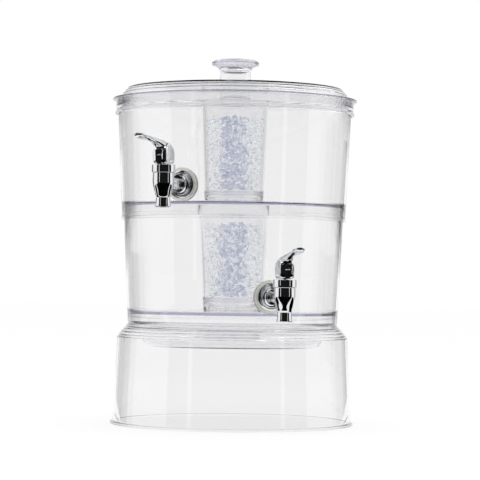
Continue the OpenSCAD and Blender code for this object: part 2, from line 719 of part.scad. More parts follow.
// Lever: a hood with a cam heel that lifts the stem, a curved neck and an oval paddle
module lever(i) {
    b = pin_rise - heel_gap;
    radian = 180 / PI;
    hood_r = bonnet_r - 0.1;
    w = hood_w / 2;
    flat_a = asin(w / hood_r);
    hood = concat(
        [for (k = [1:5]) let (a = flat_a * k / 5)
            [-hood_r * cos(a), hood_r * sin(a), hood_r * sin(a), -b, 1.1 * k,
             5.4 + 15.2 * sin(a)]],
        [[-7, w, w, -b, 7.2, 18.7], [-3.5, w, w, -b, 8.6, 20], [0, w, w, -b, 9.6, 20.4],
         [5, w - 0.2, w - 0.2, -b, 9.8, 19.8], [9, w - 0.5, w - 0.5, -b, 8, 14.3],
         [13, w - 1, w - 1, -b, 5.8, 9.3]]);
    m = lever_neck_w / 2;
    p = paddle_w / 2;
    // The arm's stations are drawn to 72 mm, and stretched to the lever's length past the hood
    hood_end = 20;
    stretch = (lever_l - hood_end) / (72 - hood_end);
    arm = [for (q = [[1, 8.3, 6, 5.3, 9.5, 19.8], [6, 7.9, 5.6, 7, 11.3, 20.7],
                     [11, 7.4, 5.2, 9.4, 13.9, 21.1], [15, 6.9, 5, 11.6, 15.8, 21.4],
                     [20, 6.2, 4.8, 13.9, 17.4, 21.8],
                     [25, m + 0.7, m - 0.5, 15.8, 18.5, 22.6],
                     [31, m + 0.2, m - 1, 17, 19.5, 23.6], [38, m, m - 1.3, 18.4, 20.6, 24.8],
                     [44, m + 0.4, m - 1.1, 18.9, 21.4, 25.7],
                     [49, 0.75 * p, 0.5 * p, 19, 22, 26.1],
                     [54, 0.91 * p, 0.61 * p, 19, 22.4, 26.2], [59, p, 0.67 * p, 19, 22.6, 26],
                     [64, 0.97 * p, 0.65 * p, 19.2, 22.7, 25.6],
                     [68, 0.83 * p, 0.56 * p, 19.5, 22.7, 24.9],
                     [70.6, 0.62 * p, 0.42 * p, 20.1, 22.6, 24.3],
                     [72, 0.34 * p, 0.24 * p, 21, 22.5, 23.6]])
        [q[0] < hood_end ? q[0] : hood_end + (q[0] - hood_end) * stretch,
         q[1], q[2], q[3], q[4], q[5]]];
    // The heel is the curve that a flat bonnet rolls on while the stem rises evenly
    heel = [for (a = [0:5:lever_travel])
        (b + cam_lift * a / radian) * [sin(a), -cos(a)] + cam_lift * [cos(a), sin(a)]];
    toe = heel[len(heel) - 1];
    chrome() at_lever(i)
    difference() {
        union() {
            loft([for (q = hood) section(q)]);
            loft([for (q = arm) section(q)]);
        }
        rotate([90, 0, 0]) linear_extrude(height = 2 * hood_w, center = true)
            polygon(concat(heel, [[toe[0] + 3, toe[1] + 1.4], [toe[0] + 3, -b - 3],
                                  [cam_lift, -b - 3]]));
        translate([-head_w / 2 - 2.2, -head_w / 2 - slot_gap, -b - 2])
            cube([hood_w, head_w + 2 * slot_gap, b + 2 + 4.8]);
        rotate([90, 0, 0]) cylinder(h = 2 * hood_w, r = pin_r + 0.01, center = true);
    }
}

module lever_pin(i) {
    chrome() at_lever(i) rotate([90, 0, 0])
        cylinder(h = hood_w - 0.4, r = pin_r, center = true);
}

stand();
tank(LOWER);  // lower_tank
tank(UPPER);  // upper_tank
lid();
lid_knob();
ice_core(LOWER);  // lower_ice_core
ice_core(UPPER);  // upper_ice_core
ice(LOWER);  // lower_ice
ice(UPPER);  // upper_ice
at_tap(LOWER) tap_body();  // lower_tap_body
at_tap(LOWER) bonnet();  // lower_bonnet
outer_gasket(LOWER);  // lower_outer_gasket
inner_gasket(LOWER);  // lower_inner_gasket
at_tap(LOWER) shank_nut();  // lower_shank_nut
at_tap(LOWER) valve_stem(LOWER);  // lower_valve_stem
at_tap(LOWER) seat_cup();  // lower_seat_cup
at_tap(LOWER) valve_spring();  // lower_valve_spring
at_tap(LOWER) lever(LOWER);  // lower_lever
at_tap(LOWER) lever_pin(LOWER);  // lower_lever_pin
at_tap(UPPER) tap_body();  // upper_tap_body
at_tap(UPPER) bonnet();  // upper_bonnet
outer_gasket(UPPER);  // upper_outer_gasket
inner_gasket(UPPER);  // upper_inner_gasket
at_tap(UPPER) shank_nut();  // upper_shank_nut
at_tap(UPPER) valve_stem(UPPER);  // upper_valve_stem
at_tap(UPPER) seat_cup();  // upper_seat_cup
at_tap(UPPER) valve_spring();  // upper_valve_spring
at_tap(UPPER) lever(UPPER);  // upper_lever
at_tap(UPPER) lever_pin(UPPER);  // upper_lever_pin
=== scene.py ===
"""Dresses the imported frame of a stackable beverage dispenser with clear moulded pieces, crushed
ice and chromed taps."""

import json
import math
import random

import bmesh
import bpy
from bpy.props import FloatProperty, FloatVectorProperty, IntProperty, PointerProperty
from mathutils import Matrix, Vector


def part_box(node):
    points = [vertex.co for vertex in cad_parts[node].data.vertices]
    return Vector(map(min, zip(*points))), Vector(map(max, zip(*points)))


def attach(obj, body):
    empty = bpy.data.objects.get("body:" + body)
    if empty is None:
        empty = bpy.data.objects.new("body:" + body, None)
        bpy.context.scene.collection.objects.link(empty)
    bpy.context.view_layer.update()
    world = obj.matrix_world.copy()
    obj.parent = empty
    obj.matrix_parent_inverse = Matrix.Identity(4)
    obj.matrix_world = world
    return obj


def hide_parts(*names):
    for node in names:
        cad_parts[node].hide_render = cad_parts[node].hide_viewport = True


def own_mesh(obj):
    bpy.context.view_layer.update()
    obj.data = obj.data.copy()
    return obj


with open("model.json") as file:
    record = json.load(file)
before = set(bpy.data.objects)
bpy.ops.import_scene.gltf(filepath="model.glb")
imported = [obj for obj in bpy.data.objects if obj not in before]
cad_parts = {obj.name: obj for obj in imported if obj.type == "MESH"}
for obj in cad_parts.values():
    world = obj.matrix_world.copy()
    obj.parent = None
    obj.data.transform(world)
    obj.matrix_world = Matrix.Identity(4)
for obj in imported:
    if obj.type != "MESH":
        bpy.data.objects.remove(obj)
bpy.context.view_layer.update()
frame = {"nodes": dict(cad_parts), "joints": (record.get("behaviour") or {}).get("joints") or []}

bl_info = {
    "name": "Stackable beverage dispenser",
    "version": (1, 0, 0),
    "blender": (4, 5, 0),
    "location": "3D View > Sidebar > Dispenser",
    "description": "Builds the dispenser's moulded pieces, ice and taps around its frame",
    "category": "Add Mesh",
}

MM = 0.001
TIERS = ("lower", "upper")
# Facets round a large turned piece, and round the pieces of a tap
SPIN_STEPS = 256
SMALL_STEPS = 96
# Faces that meet at more than this keep a sharp edge
SHARP_ANGLE = math.radians(32)
UP = Vector((0, 0, 1))
WHITE = (1.0, 1.0, 1.0, 1.0)
# Roundings of the moulded and plated edges: hardly broken, usual, and well eased
CRISP = 0.3 * MM
EDGE = 0.6 * MM
EASED = 1 * MM
# Points of a mesh that are nearer than this are one point: where a profile's ends meet, and
# where a boolean leaves crumbs
WELD = 1e-6
CRUMB = 1e-7
# Air left between two pieces that stand on each other, so that light finds both faces
CONTACT_GAP = 0.05 * MM
# Height of the valve's seat, measured from the shank's axis
SEAT_Z = -6 * MM
# Chips of ice are tried at random places and kept where there is room: the number of tries, how
# near two chips may come, as a share of their sizes together, and the points of a chip
ICE_TRIES = 24000
ICE_PACKING = 0.40
CHIP_POINTS = 12
JOINTS = {joint["name"]: joint for joint in frame["joints"]}


# Properties


def length(name, millimetres, description):
    """A size that the sidebar shows as a length."""
    return FloatProperty(name=name, description=description, default=millimetres * MM,
                         min=0.0, unit="LENGTH")


def degrees(name, value, description):
    """An angle, given in degrees."""
    return FloatProperty(name=name, description=description, default=math.radians(value),
                         subtype="ANGLE")


def count(name, value, description):
    """A number of like things."""
    return IntProperty(name=name, description=description, default=value, min=1)


def level(name, value, description):
    """A strength or a share, from 0 up."""
    return FloatProperty(name=name, description=description, default=value, min=0.0)


def linear(code):
    """A hex sRGB colour as linear red, green, blue and alpha."""
    channels = [int(code[k:k + 2], 16) / 255 for k in (1, 3, 5)]
    light = (c / 12.92 if c <= 0.04045 else ((c + 0.055) / 1.055) ** 2.4 for c in channels)
    return (*light, 1.0)


def colour(name, code, description):
    """A colour, given as a hex sRGB code."""
    return FloatVectorProperty(name=name, description=description, default=linear(code), size=4,
                               subtype="COLOR", min=0.0, max=1.0)


class StandSizes(bpy.types.PropertyGroup):
    """The clear stand under the tanks."""
    height: length("Height", 126, "Height of the shoulder's top edge")
    wall: length("Wall", 3, "Thickness of the stand's wall")
    lean: degrees("Lean", 2.53, "Outward lean of the wall towards the foot")
    foot_reach: length("Foot reach", 3, "Reach of the foot's lip beyond the wall")
    foot_height: length("Foot height", 3.2, "Height of the foot's lip")
    shoulder_width: length("Shoulder width", 11.6, "Width of the ridged shoulder")
    shoulder_height: length("Shoulder height", 14.5, "Height of the ridged shoulder")
    ridges: count("Ridges", 4, "Number of ridges on the shoulder")
    seat_depth: length("Seat depth", 2.1, "Depth of the groove that the lower tank stands in")
    well_radius: length("Well radius", 112, "Inside radius of the round well")
    well_depth: length("Well depth", 29, "Depth of the well below the plug's top")
    well_corner: length("Well corner", 9, "Radius of the well's rounded corner")


class TankSizes(bpy.types.PropertyGroup):
    """The two clear tanks."""
    lean: degrees("Lean", 2.63, "Outward lean of the tank's wall")
    wall: length("Wall", 3, "Thickness of the tank's wall")
    floor: length("Floor", 3, "Thickness of the tank's floor")
    floor_corner: length("Floor corner", 3, "Radius between floor and wall, inside")
    skirt_height: length("Skirt height", 17.1, "Height of the skirt below the floor")
    skirt_wall: length("Skirt wall", 2.4, "Thickness of the skirt")
    bead_height: length("Bead height", 3.4, "Height of the bead at the foot of a skirt")
    bead_reach: length("Bead reach", 0.8, "Reach of that bead")
    skirt_gap: length("Skirt gap", 0.4, "Clearance between a skirt and what it goes over")


class LidSizes(bpy.types.PropertyGroup):
    """The clear lid and its knob."""
    wall: length("Wall", 2.6, "Thickness of the lid")
    band_height: length("Band height", 2.6, "Height of the plain band above the flange")
    bevel_width: length("Bevel width", 9, "Width of the ridged bevel")
    bevel_height: length("Bevel height", 11.1, "Height of the ridged bevel")
    ridges: count("Ridges", 3, "Number of ridges on the bevel")
    crown_height: length("Crown height", 2, "Rise of the crown from its edge to its middle")
    flange_wall: length("Flange", 2, "Thickness of the flange")
    skirt_wall: length("Skirt wall", 1.8, "Thickness of the skirt")
    plug_height: length("Plug height", 9.8, "Length of the plug below the flange")
    plug_gap: length("Plug gap", 0.6, "Clearance between the plug and the tank's mouth")
    knob_head: length("Knob head", 14.6, "Height of the knob's head")
    knob_neck: length("Knob neck", 20.3, "Radius of the knob's neck")
    knob_wall: length("Knob wall", 2.8, "Thickness of the knob's wall")
    knob_boss: length("Knob boss", 3, "Height of the boss that centres the knob")


class CoreSizes(bpy.types.PropertyGroup):
    """The clear ice cores and their twist-locks."""
    foot_radius: length("Foot radius", 37.6, "Outside radius at the core's foot")
    collar_height: length("Collar height", 17.4, "Height of the collar")
    lower_step: length("Lower step", 1.8, "Step out from the lower core to its collar")
    upper_step: length("Upper step", 0.8, "Step out from the upper core to its collar")
    wall: length("Wall", 2.4, "Thickness of the core's wall")
    foot_height: length("Foot height", 13.2, "Height of the core's bottom above its foot")
    boss_height: length("Boss height", 8.7, "Height of the twist-lock ring on a tank's floor")
    boss_wall: length("Boss wall", 2.4, "Thickness of that ring")
    tab_reach: length("Tab reach", 2, "Reach of a twist-lock tab")
    tab_angle: degrees("Tab angle", 30, "Width of a tab around the ring")
    lock_gap: length("Lock gap", 0.6, "Running clearance of the twist-lock")


class IceSizes(bpy.types.PropertyGroup):
    """The crushed ice in the cores."""
    lower_height: length("Lower height", 91, "Height of the ice in the lower core")
    upper_height: length("Upper height", 92, "Height of the ice in the upper core")
    # Inside this radius the chips bend the light more and take a darker tint, which is painted shade
    heart: length("Heart radius", 19, "Radius of the denser ice in the middle")
    heap: length("Heap", 2.4, "How much higher the ice is in the middle")
    chip: length("Chip", 12, "Usual size of a chip of ice")
    spread: level("Spread", 0.35, "How much the chips differ in size")


class TapSizes(bpy.types.PropertyGroup):
    """The two lever taps."""
    reach: length("Reach", 51.5, "Distance from the tank's wall to the barrel's axis")
    shank: length("Shank radius", 8, "Radius of the threaded shank")
    shank_length: length("Shank length", 20, "Length of the shank inside the tank's wall")
    inlet: length("Inlet radius", 5, "Radius of the drink's way through the shank")
    flange: length("Flange radius", 17.25, "Radius of the chromed flange")
    gasket: length("Gasket radius", 20.7, "Radius of the outer gasket")
    gasket_thick: length("Gasket thickness", 3, "Thickness of the outer gasket")
    washer: length("Inner gasket radius", 16.3, "Radius of the inner gasket")
    washer_thick: length("Inner gasket thickness", 2.5, "Thickness of the inner gasket")
    neck: length("Neck radius", 7.2, "Radius of the neck between flange and barrel")
    barrel: length("Barrel radius", 13, "Radius of the barrel under its bonnet")
    barrel_top: length("Barrel top", 11.9, "Height of the barrel's top above the shank's axis")
    spout_drop: length("Spout drop", 29.6, "From the shank's axis down to the spout's mouth")
    spout: length("Spout radius", 8.7, "Outside radius of the spout")
    mouth: length("Mouth radius", 9.8, "Radius of the spout's mouth")
    chamber: length("Chamber radius", 10.2, "Radius of the valve chamber")
    bonnet: length("Bonnet radius", 14.3, "Radius of the bonnet")
    bonnet_height: length("Bonnet height", 9.9, "Height of the bonnet")
    stem: length("Stem radius", 2.8, "Radius of the valve's stem")
    pin: length("Pin radius", 1.5, "Radius of the lever's pin")
    pin_rise: length("Pin rise", 10.2, "Height of the pin above the bonnet")
    hood: length("Hood width", 20.4, "Width of the hood across its flat cheeks")
    head: length("Stem head width", 5.6, "Width of the stem's head")
    neck_width: length("Lever neck", 9.4, "Width of the lever's neck")
    paddle: length("Paddle width", 16, "Width of the lever's paddle")
    lever: length("Lever length", 68, "From the stem's axis to the lever's tip")
    upper_droop: degrees("Upper droop", 3.5, "Droop of the upper lever at rest")
    spring: length("Spring radius", 5.6, "Radius of the valve spring to the middle of its wire")
    spring_wire: length("Spring wire", 0.6, "Radius of the valve spring's wire")
    spring_turns: count("Spring turns", 6, "Turns of the valve spring")


class Finishes(bpy.types.PropertyGroup):
    """Colours of the finishes."""
    plastic: colour("Clear plastic", "#FAFAFA", "Tint of the clear styrene plastic")
    # Painted shade: the lid's rim is given a darker violet-grey for the look of the sheet seen edge
    # on
    plastic_rim_painted_shade: colour("Plastic rim", "#918DA8", "Tint of the lid's rim, which is seen edge on")
    plastic_edge: colour("Plastic edge", "#8078C0", "Tint that the plastic takes where it is deep")
    ice: colour("Ice", "#FCFEFF", "Tint of the chips along the core's wall")
    # Painted shade: the darker blue-violet of the chips in the middle stands in for the depth of ice
    # looked through there
    ice_heart_painted_shade: colour("Heart of the ice", "#DCE0F1", "Tint of the denser chips in the middle")
    chrome: colour("Chrome", "#E9EAEC", "Colour of the chrome plating")
    steel: colour("Steel", "#B9B8B4", "Colour of the spring's wire")
    silicone: colour("Silicone", "#F7F7EF", "Colour of the milky silicone gaskets")
    rubber: colour("Seat rubber", "#D9D8D0", "Colour of the valve's seat")


class StageSettings(bpy.types.PropertyGroup):
    """Floor, light and camera."""
    camera_distance: length("Camera distance", 2693.5, "From the dispenser's axis to the camera")
    camera_height: length("Camera height", 187.7, "Height of the camera above the floor")
    camera_yaw: degrees("Camera yaw", 0.182, "Turn of the camera to the right")
    camera_pitch: degrees("Camera pitch", 1.037, "Tilt of the camera upwards")
    camera_roll: degrees("Camera roll", -0.693, "Roll of the camera")
    lens: FloatProperty(name="Lens", description="Focal length in millimetres on a 36 mm sensor",
                        default=156.6, min=1.0)
    white: level("White", 1.0, "Brightness of the white surroundings")
    rear_lamp: level("Rear lamp", 3.0, "Power in watts of the lamp behind, for the ice's sparkle")
    floor_glow: level("Floor glow", 0.83, "Light of the translucent table top")
    lamps: level("Lamps", 12.0, "Power of the overhead light in watts")


# Mesh tools


def linked(name, bm):
    """An object in the scene with bm as its mesh. bm is used up."""
    mesh = bpy.data.meshes.new(name)
    bm.to_mesh(mesh)
    bm.free()
    made = bpy.data.objects.new(name, mesh)
    bpy.context.scene.collection.objects.link(made)
    return made


def shaped(name, bm, kind, body, *nodes, sharp=SHARP_ANGLE):
    """Makes a piece from a finished bmesh, smooth with its sharp edges kept, in one of the kinds
    of finish, riding on a body in place of CAD nodes."""
    piece = linked(name, bm)
    mesh = piece.data
    mesh.polygons.foreach_set("use_smooth", [True] * len(mesh.polygons))
    mesh.set_sharp_from_angle(angle=sharp)
    mesh.materials.append(material_for(kind))
    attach(piece, body)
    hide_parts(*nodes)
    return piece


def evaluated(helper):
    """What a helper object's modifiers make of it, as a new bmesh."""
    graph = bpy.context.evaluated_depsgraph_get()
    mesh = bpy.data.meshes.new_from_object(helper.evaluated_get(graph))
    made = bmesh.new()
    made.from_mesh(mesh)
    bpy.data.meshes.remove(mesh)
    return made


def discard(helper):
    """Removes a helper object and its mesh."""
    mesh = helper.data
    bpy.data.objects.remove(helper)
    bpy.data.meshes.remove(mesh)


def gathered(parts):
    """One bmesh of several, which are used up."""
    whole = bmesh.new()
    for part in parts:
        mesh = bpy.data.meshes.new("part")
        part.to_mesh(mesh)
        part.free()
        whole.from_mesh(mesh)
        bpy.data.meshes.remove(mesh)
    return whole


def combined(bm, cutter, operation):
    """bm joined with, cut by or kept inside cutter, as a new bmesh. Both are used up."""
    base = linked("base", bm)
    tool = linked("tool", cutter)
    boolean = base.modifiers.new("shape", "BOOLEAN")
    boolean.operation = operation
    boolean.solver = "EXACT"
    boolean.object = tool
    made = evaluated(base)
    discard(base)
    discard(tool)
    bmesh.ops.remove_doubles(made, verts=made.verts, dist=CRUMB)
    bmesh.ops.dissolve_degenerate(made, edges=made.edges, dist=CRUMB)
    return made


def refined(bm, levels):
    """bm after a Subdivision Surface, as a new bmesh. bm is used up."""
    cage = linked("cage", bm)
    smooth = cage.modifiers.new("smooth", "SUBSURF")
    smooth.levels = smooth.render_levels = levels
    made = evaluated(cage)
    discard(cage)
    return made


def turned(profile, steps=SPIN_STEPS, angle=math.tau, closed=None):
    """A bmesh spun about Z from a profile of (radius, height) points."""
    bm = bmesh.new()
    ring = [bm.verts.new((r, 0.0, z)) for r, z in profile]
    if closed is None:
        closed = profile[0][0] > 0 or profile[-1][0] > 0
    loop = ring + ring[:1] if closed else ring
    edges = [bm.edges.new(pair) for pair in zip(loop, loop[1:])]
    full = angle == math.tau
    end = bmesh.ops.spin(bm, geom=ring + edges, cent=(0, 0, 0), axis=(0, 0, 1), angle=angle,
                         steps=steps, use_merge=full)
    if not full:
        far_edges = [item for item in end["geom_last"] if isinstance(item, bmesh.types.BMEdge)]
        bmesh.ops.edgeloop_fill(bm, edges=edges)
        bmesh.ops.edgeloop_fill(bm, edges=far_edges)
    bmesh.ops.remove_doubles(bm, verts=bm.verts, dist=WELD)
    bmesh.ops.dissolve_degenerate(bm, edges=bm.edges, dist=CRUMB)
    bmesh.ops.recalc_face_normals(bm, faces=bm.faces)
    return bm


def rounded(corners, steps=4):
    """A profile through (radius, height, rounding) corners, each rounded by a curve that takes
    up at most a given share of the lines beside it."""
    share = 0.48
    points = []
    last = len(corners)
    for k, corner in enumerate(corners):
        here = Vector(corner[:2])
        rounding = corner[2] if len(corner) > 2 else 0.0
        if rounding <= 0 or k in (0, last - 1) and corners[0][0] == 0:
            points.append(tuple(here))
            continue
        before = Vector(corners[k - 1][:2]) - here
        after = Vector(corners[(k + 1) % last][:2]) - here
        half = before.angle(after) / 2
        back = min(rounding / math.tan(half), share * before.length, share * after.length)
        start = here + before.normalized() * back
        end = here + after.normalized() * back
        for step in range(steps + 1):
            t = step / steps
            points.append(tuple((1 - t) ** 2 * start + 2 * t * (1 - t) * here + t * t * end))
    return points


def smooth_line(a, b, c, d, steps=10):
    """Points of a cubic curve from a to d."""
    a, b, c, d = (Vector(p) for p in (a, b, c, d))
    line = []
    for step in range(steps + 1):
        t = step / steps
        u = 1 - t
        line.append(tuple(u ** 3 * a + 3 * t * u ** 2 * b + 3 * t * t * u * c + t ** 3 * d))
    return line


def ridged_slope(radius, low, width, height, ridges):
    """Profile of a slope that leans in, the more so the higher, with a cove between one ridge
    and the next."""
    bow = 0.3
    depth = 0.8 * MM
    steps = 8
    arrises = [Vector((radius - width * ((1 - bow) * k / ridges + bow * (k / ridges) ** 2),
                       low + height * k / ridges)) for k in range(ridges + 1)]
    points = []
    for below, above in zip(arrises, arrises[1:]):
        along = above - below
        inward = Vector((-along.y, along.x)).normalized()
        for step in range(steps):
            u = step / steps
            points.append(tuple(below + along * u + inward * depth * math.sin(math.pi * u)))
    return points


def skirt_foot(radius, low, sizes):
    """Outside of a skirt's foot, from its bottom edge up: bead, slight neck, wall."""
    reach = radius + sizes.bead_reach
    top = low + sizes.bead_height
    neck = radius - 0.4 * MM
    return [(reach, low, EDGE), (reach, top, EDGE), (neck, top + 0.2 * MM, CRISP),
            (radius, top + 2.2 * MM, EASED)]


def moved(bm, matrix):
    """bm itself, after the matrix."""
    bmesh.ops.transform(bm, matrix=matrix, verts=bm.verts)
    return bm


def cylinder(radius, low, high, segments=SMALL_STEPS):
    """A closed cylinder along Z from low to high."""
    bm = bmesh.new()
    bmesh.ops.create_cone(bm, cap_ends=True, segments=segments, radius1=radius, radius2=radius,
                          depth=high - low, matrix=Matrix.Translation((0, 0, (low + high) / 2)))
    return bm


def block(low, high):
    """A closed box from one corner to the other."""
    low, high = Vector(low), Vector(high)
    bm = bmesh.new()
    size = Matrix.Diagonal((*(high - low), 1.0))
    bmesh.ops.create_cube(bm, size=1.0, matrix=Matrix.Translation((low + high) / 2) @ size)
    return bm


# Materials


def add(tree, kind, inputs=(), **settings):
    """Adds a node with its settings. inputs has a value or a source for each socket, which goes
    by its name, or by its number where two sockets share one."""
    made = tree.nodes.new(kind)
    for key, value in settings.items():
        setattr(made, key, value)
    for key, value in dict(inputs).items():
        if isinstance(key, int):
            socket = made.inputs[key]
        else:
            socket = next(s for s in made.inputs if s.name == key and s.enabled)
        if isinstance(value, bpy.types.NodeSocket):
            tree.links.new(value, socket)
        else:
            socket.default_value = value
    return made


def result(made):
    """The node's one output that its settings leave in use."""
    return next(s for s in made.outputs if s.enabled)


def new_material(name):
    """An empty material and its node tree."""
    material = bpy.data.materials.new(name)
    material.use_nodes = True
    material.node_tree.nodes.clear()
    return material, material.node_tree


def styrene_plastic(finishes):
    """Clear styrene-acrylonitrile, injection moulded and polished: bright and glassy, with the
    faint waves of the melt's flow, and violet where one looks along a wall or a floor."""
    material, tree = new_material("clear_styrene_acrylonitrile")
    place = add(tree, "ShaderNodeTexCoord")
    flow = add(tree, "ShaderNodeTexNoise", {
        "Vector": place.outputs["Object"], "Scale": 1 / (45 * MM), "Detail": 1.0})
    waves = add(tree, "ShaderNodeBump", {
        "Strength": 0.03, "Distance": 0.5 * MM, "Height": flow.outputs["Fac"]})
    surface = add(tree, "ShaderNodeBsdfPrincipled", {
        "Base Color": finishes.plastic, "Roughness": 0.015, "IOR": 1.57,
        "Transmission Weight": 1.0, "Normal": waves.outputs["Normal"]})
    depth = add(tree, "ShaderNodeVolumeAbsorption", {"Color": finishes.plastic_edge, "Density": 3.6})
    add(tree, "ShaderNodeOutputMaterial", {
        "Surface": surface.outputs["BSDF"], "Volume": depth.outputs["Volume"]})
    return material


def painted_shade_rim(finishes):
    """The same styrene on a rim that is seen edge on, with painted shade: a darker violet-grey in
    its colour stands in for the tint of the sheet's whole depth, which has no volume here.
    """
    material, tree = new_material("clear_styrene_rim_painted_shade")
    place = add(tree, "ShaderNodeTexCoord")
    mould = add(tree, "ShaderNodeTexNoise", {
        "Vector": place.outputs["Object"], "Scale": 1 / (6 * MM), "Detail": 2.0})
    satin = add(tree, "ShaderNodeMapRange", {
        "Value": mould.outputs["Fac"], "To Min": 0.04, "To Max": 0.12})
    # Painted shade: the rim's violet-grey colour stands in for the depth of sheet seen edge on
    surface = add(tree, "ShaderNodeBsdfPrincipled", {
        "Base Color": finishes.plastic_rim_painted_shade, "Roughness": satin.outputs["Result"], "IOR": 1.57,
        "Transmission Weight": 1.0})
    add(tree, "ShaderNodeOutputMaterial", {"Surface": surface.outputs["BSDF"]})
    return material


def crushed_ice(finishes):
    """Crushed ice: split faces with a fine crackle. The heart is dry and sparkling, and its chips
    take a darker blue-violet that is painted shade, for the depth of ice seen through in the middle.
    Along the wall melt water fills the gaps, so that the faces there bend the light less."""
    material, tree = new_material("crushed_ice")
    place = add(tree, "ShaderNodeTexCoord")
    crackle = add(tree, "ShaderNodeTexNoise", {
        "Vector": place.outputs["Object"], "Scale": 1 / (5 * MM), "Detail": 3.0, "Roughness": 0.6})
    relief = add(tree, "ShaderNodeBump", {
        "Strength": 0.6, "Distance": 0.8 * MM, "Height": crackle.outputs["Fac"]})
    flat = add(tree, "ShaderNodeVectorMath", {
        0: place.outputs["Object"], 1: (1.0, 1.0, 0.0)}, operation="MULTIPLY")
    reach = add(tree, "ShaderNodeVectorMath", {"Vector": flat.outputs["Vector"]}, operation="LENGTH")
    heart = bpy.context.scene.dispenser_ice.heart
    seam = 1.5 * MM
    outside = add(tree, "ShaderNodeMapRange", {
        "Value": reach.outputs["Value"], "From Min": heart - seam, "From Max": heart + seam})
    # Painted shade: chips inside the heart's radius take the darker blue-violet, those along the wall
    # the near-white ice tint
    tint = add(tree, "ShaderNodeMix", {
        "Factor": outside.outputs["Result"], "A": finishes.ice_heart_painted_shade, "B": finishes.ice},
        data_type="RGBA")
    bend = add(tree, "ShaderNodeMapRange", {
        "Value": outside.outputs["Result"], "To Min": 1.45, "To Max": 1.14})
    surface = add(tree, "ShaderNodeBsdfPrincipled", {
        "Base Color": result(tint), "Roughness": 0.02, "IOR": bend.outputs["Result"],
        "Transmission Weight": 1.0, "Normal": relief.outputs["Normal"]})
    add(tree, "ShaderNodeOutputMaterial", {"Surface": surface.outputs["BSDF"]})
    return material


def chrome_plate(finishes):
    """Chrome plated on moulded ABS: a mirror with the faint ripple of the plastic under it."""
    material, tree = new_material("chrome_plated_abs")
    place = add(tree, "ShaderNodeTexCoord")
    ripple = add(tree, "ShaderNodeTexNoise", {
        "Vector": place.outputs["Object"], "Scale": 1 / (9 * MM), "Detail": 1.0})
    relief = add(tree, "ShaderNodeBump", {
        "Strength": 0.05, "Distance": 0.1 * MM, "Height": ripple.outputs["Fac"]})
    wipe = add(tree, "ShaderNodeTexNoise", {
        "Vector": place.outputs["Object"], "Scale": 1 / (1.6 * MM), "Detail": 4.0})
    haze = add(tree, "ShaderNodeMapRange", {
        "Value": wipe.outputs["Fac"], "To Min": 0.02, "To Max": 0.07})
    surface = add(tree, "ShaderNodeBsdfPrincipled", {
        "Base Color": finishes.chrome, "Metallic": 1.0,
        "Roughness": haze.outputs["Result"], "Normal": relief.outputs["Normal"]})
    add(tree, "ShaderNodeOutputMaterial", {"Surface": surface.outputs["BSDF"]})
    return material


def spring_steel(finishes):
    """Stainless spring wire, drawn: bright with a soft bloom along the wire."""
    material, tree = new_material("stainless_spring_wire")
    place = add(tree, "ShaderNodeTexCoord")
    # Drawing marks are finer than this and are shown as coarse as they need to be seen
    drawn = add(tree, "ShaderNodeTexNoise", {
        "Vector": place.outputs["Object"], "Scale": 1 / (0.8 * MM), "Detail": 3.0})
    haze = add(tree, "ShaderNodeMapRange", {
        "Value": drawn.outputs["Fac"], "To Min": 0.2, "To Max": 0.36})
    surface = add(tree, "ShaderNodeBsdfPrincipled", {
        "Base Color": finishes.steel, "Metallic": 1.0, "Roughness": haze.outputs["Result"]})
    add(tree, "ShaderNodeOutputMaterial", {"Surface": surface.outputs["BSDF"]})
    return material


def silicone_rubber(finishes):
    """Moulded silicone rubber, milky: light goes a little way in, and the skin is satin."""
    material, tree = new_material("milky_silicone_rubber")
    place = add(tree, "ShaderNodeTexCoord")
    # The mould's grain is finer than this and is shown as coarse as it needs to be seen
    skin = add(tree, "ShaderNodeTexNoise", {
        "Vector": place.outputs["Object"], "Scale": 1 / (1.2 * MM), "Detail": 3.0})
    relief = add(tree, "ShaderNodeBump", {
        "Strength": 0.2, "Distance": 0.1 * MM, "Height": skin.outputs["Fac"]})
    haze = add(tree, "ShaderNodeMapRange", {
        "Value": skin.outputs["Fac"], "To Min": 0.38, "To Max": 0.55})
    surface = add(tree, "ShaderNodeBsdfPrincipled", {
        "Base Color": finishes.silicone, "Roughness": haze.outputs["Result"], "IOR": 1.41,
        "Subsurface Weight": 0.5, "Subsurface Radius": (0.8, 0.9, 0.7), "Subsurface Scale": 2 * MM,
        "Transmission Weight": 0.7, "Normal": relief.outputs["Normal"]})
    add(tree, "ShaderNodeOutputMaterial", {"Surface": surface.outputs["BSDF"]})
    return material


def seat_rubber(finishes):
    """Food-grade rubber, moulded matt: dull, with a fine grain."""
    material, tree = new_material("food_grade_rubber")
    place = add(tree, "ShaderNodeTexCoord")
    # The mould's grain is finer than this and is shown as coarse as it needs to be seen
    skin = add(tree, "ShaderNodeTexNoise", {
        "Vector": place.outputs["Object"], "Scale": 1 / (1.0 * MM), "Detail": 3.0})
    relief = add(tree, "ShaderNodeBump", {
        "Strength": 0.3, "Distance": 0.1 * MM, "Height": skin.outputs["Fac"]})
    haze = add(tree, "ShaderNodeMapRange", {
        "Value": skin.outputs["Fac"], "To Min": 0.55, "To Max": 0.75})
    surface = add(tree, "ShaderNodeBsdfPrincipled", {
        "Base Color": finishes.rubber, "Roughness": haze.outputs["Result"],
        "Normal": relief.outputs["Normal"]})
    add(tree, "ShaderNodeOutputMaterial", {"Surface": surface.outputs["BSDF"]})
    return material


MAKERS = {"plastic": styrene_plastic, "rim": painted_shade_rim, "ice": crushed_ice, "chrome": chrome_plate,
          "steel": spring_steel, "silicone": silicone_rubber, "rubber": seat_rubber}
MADE = {}


def material_for(kind):
    """The finish of that kind, made once."""
    if kind not in MADE:
        MADE[kind] = MAKERS[kind](bpy.context.scene.dispenser_finishes)
    return MADE[kind]


# Clear pieces


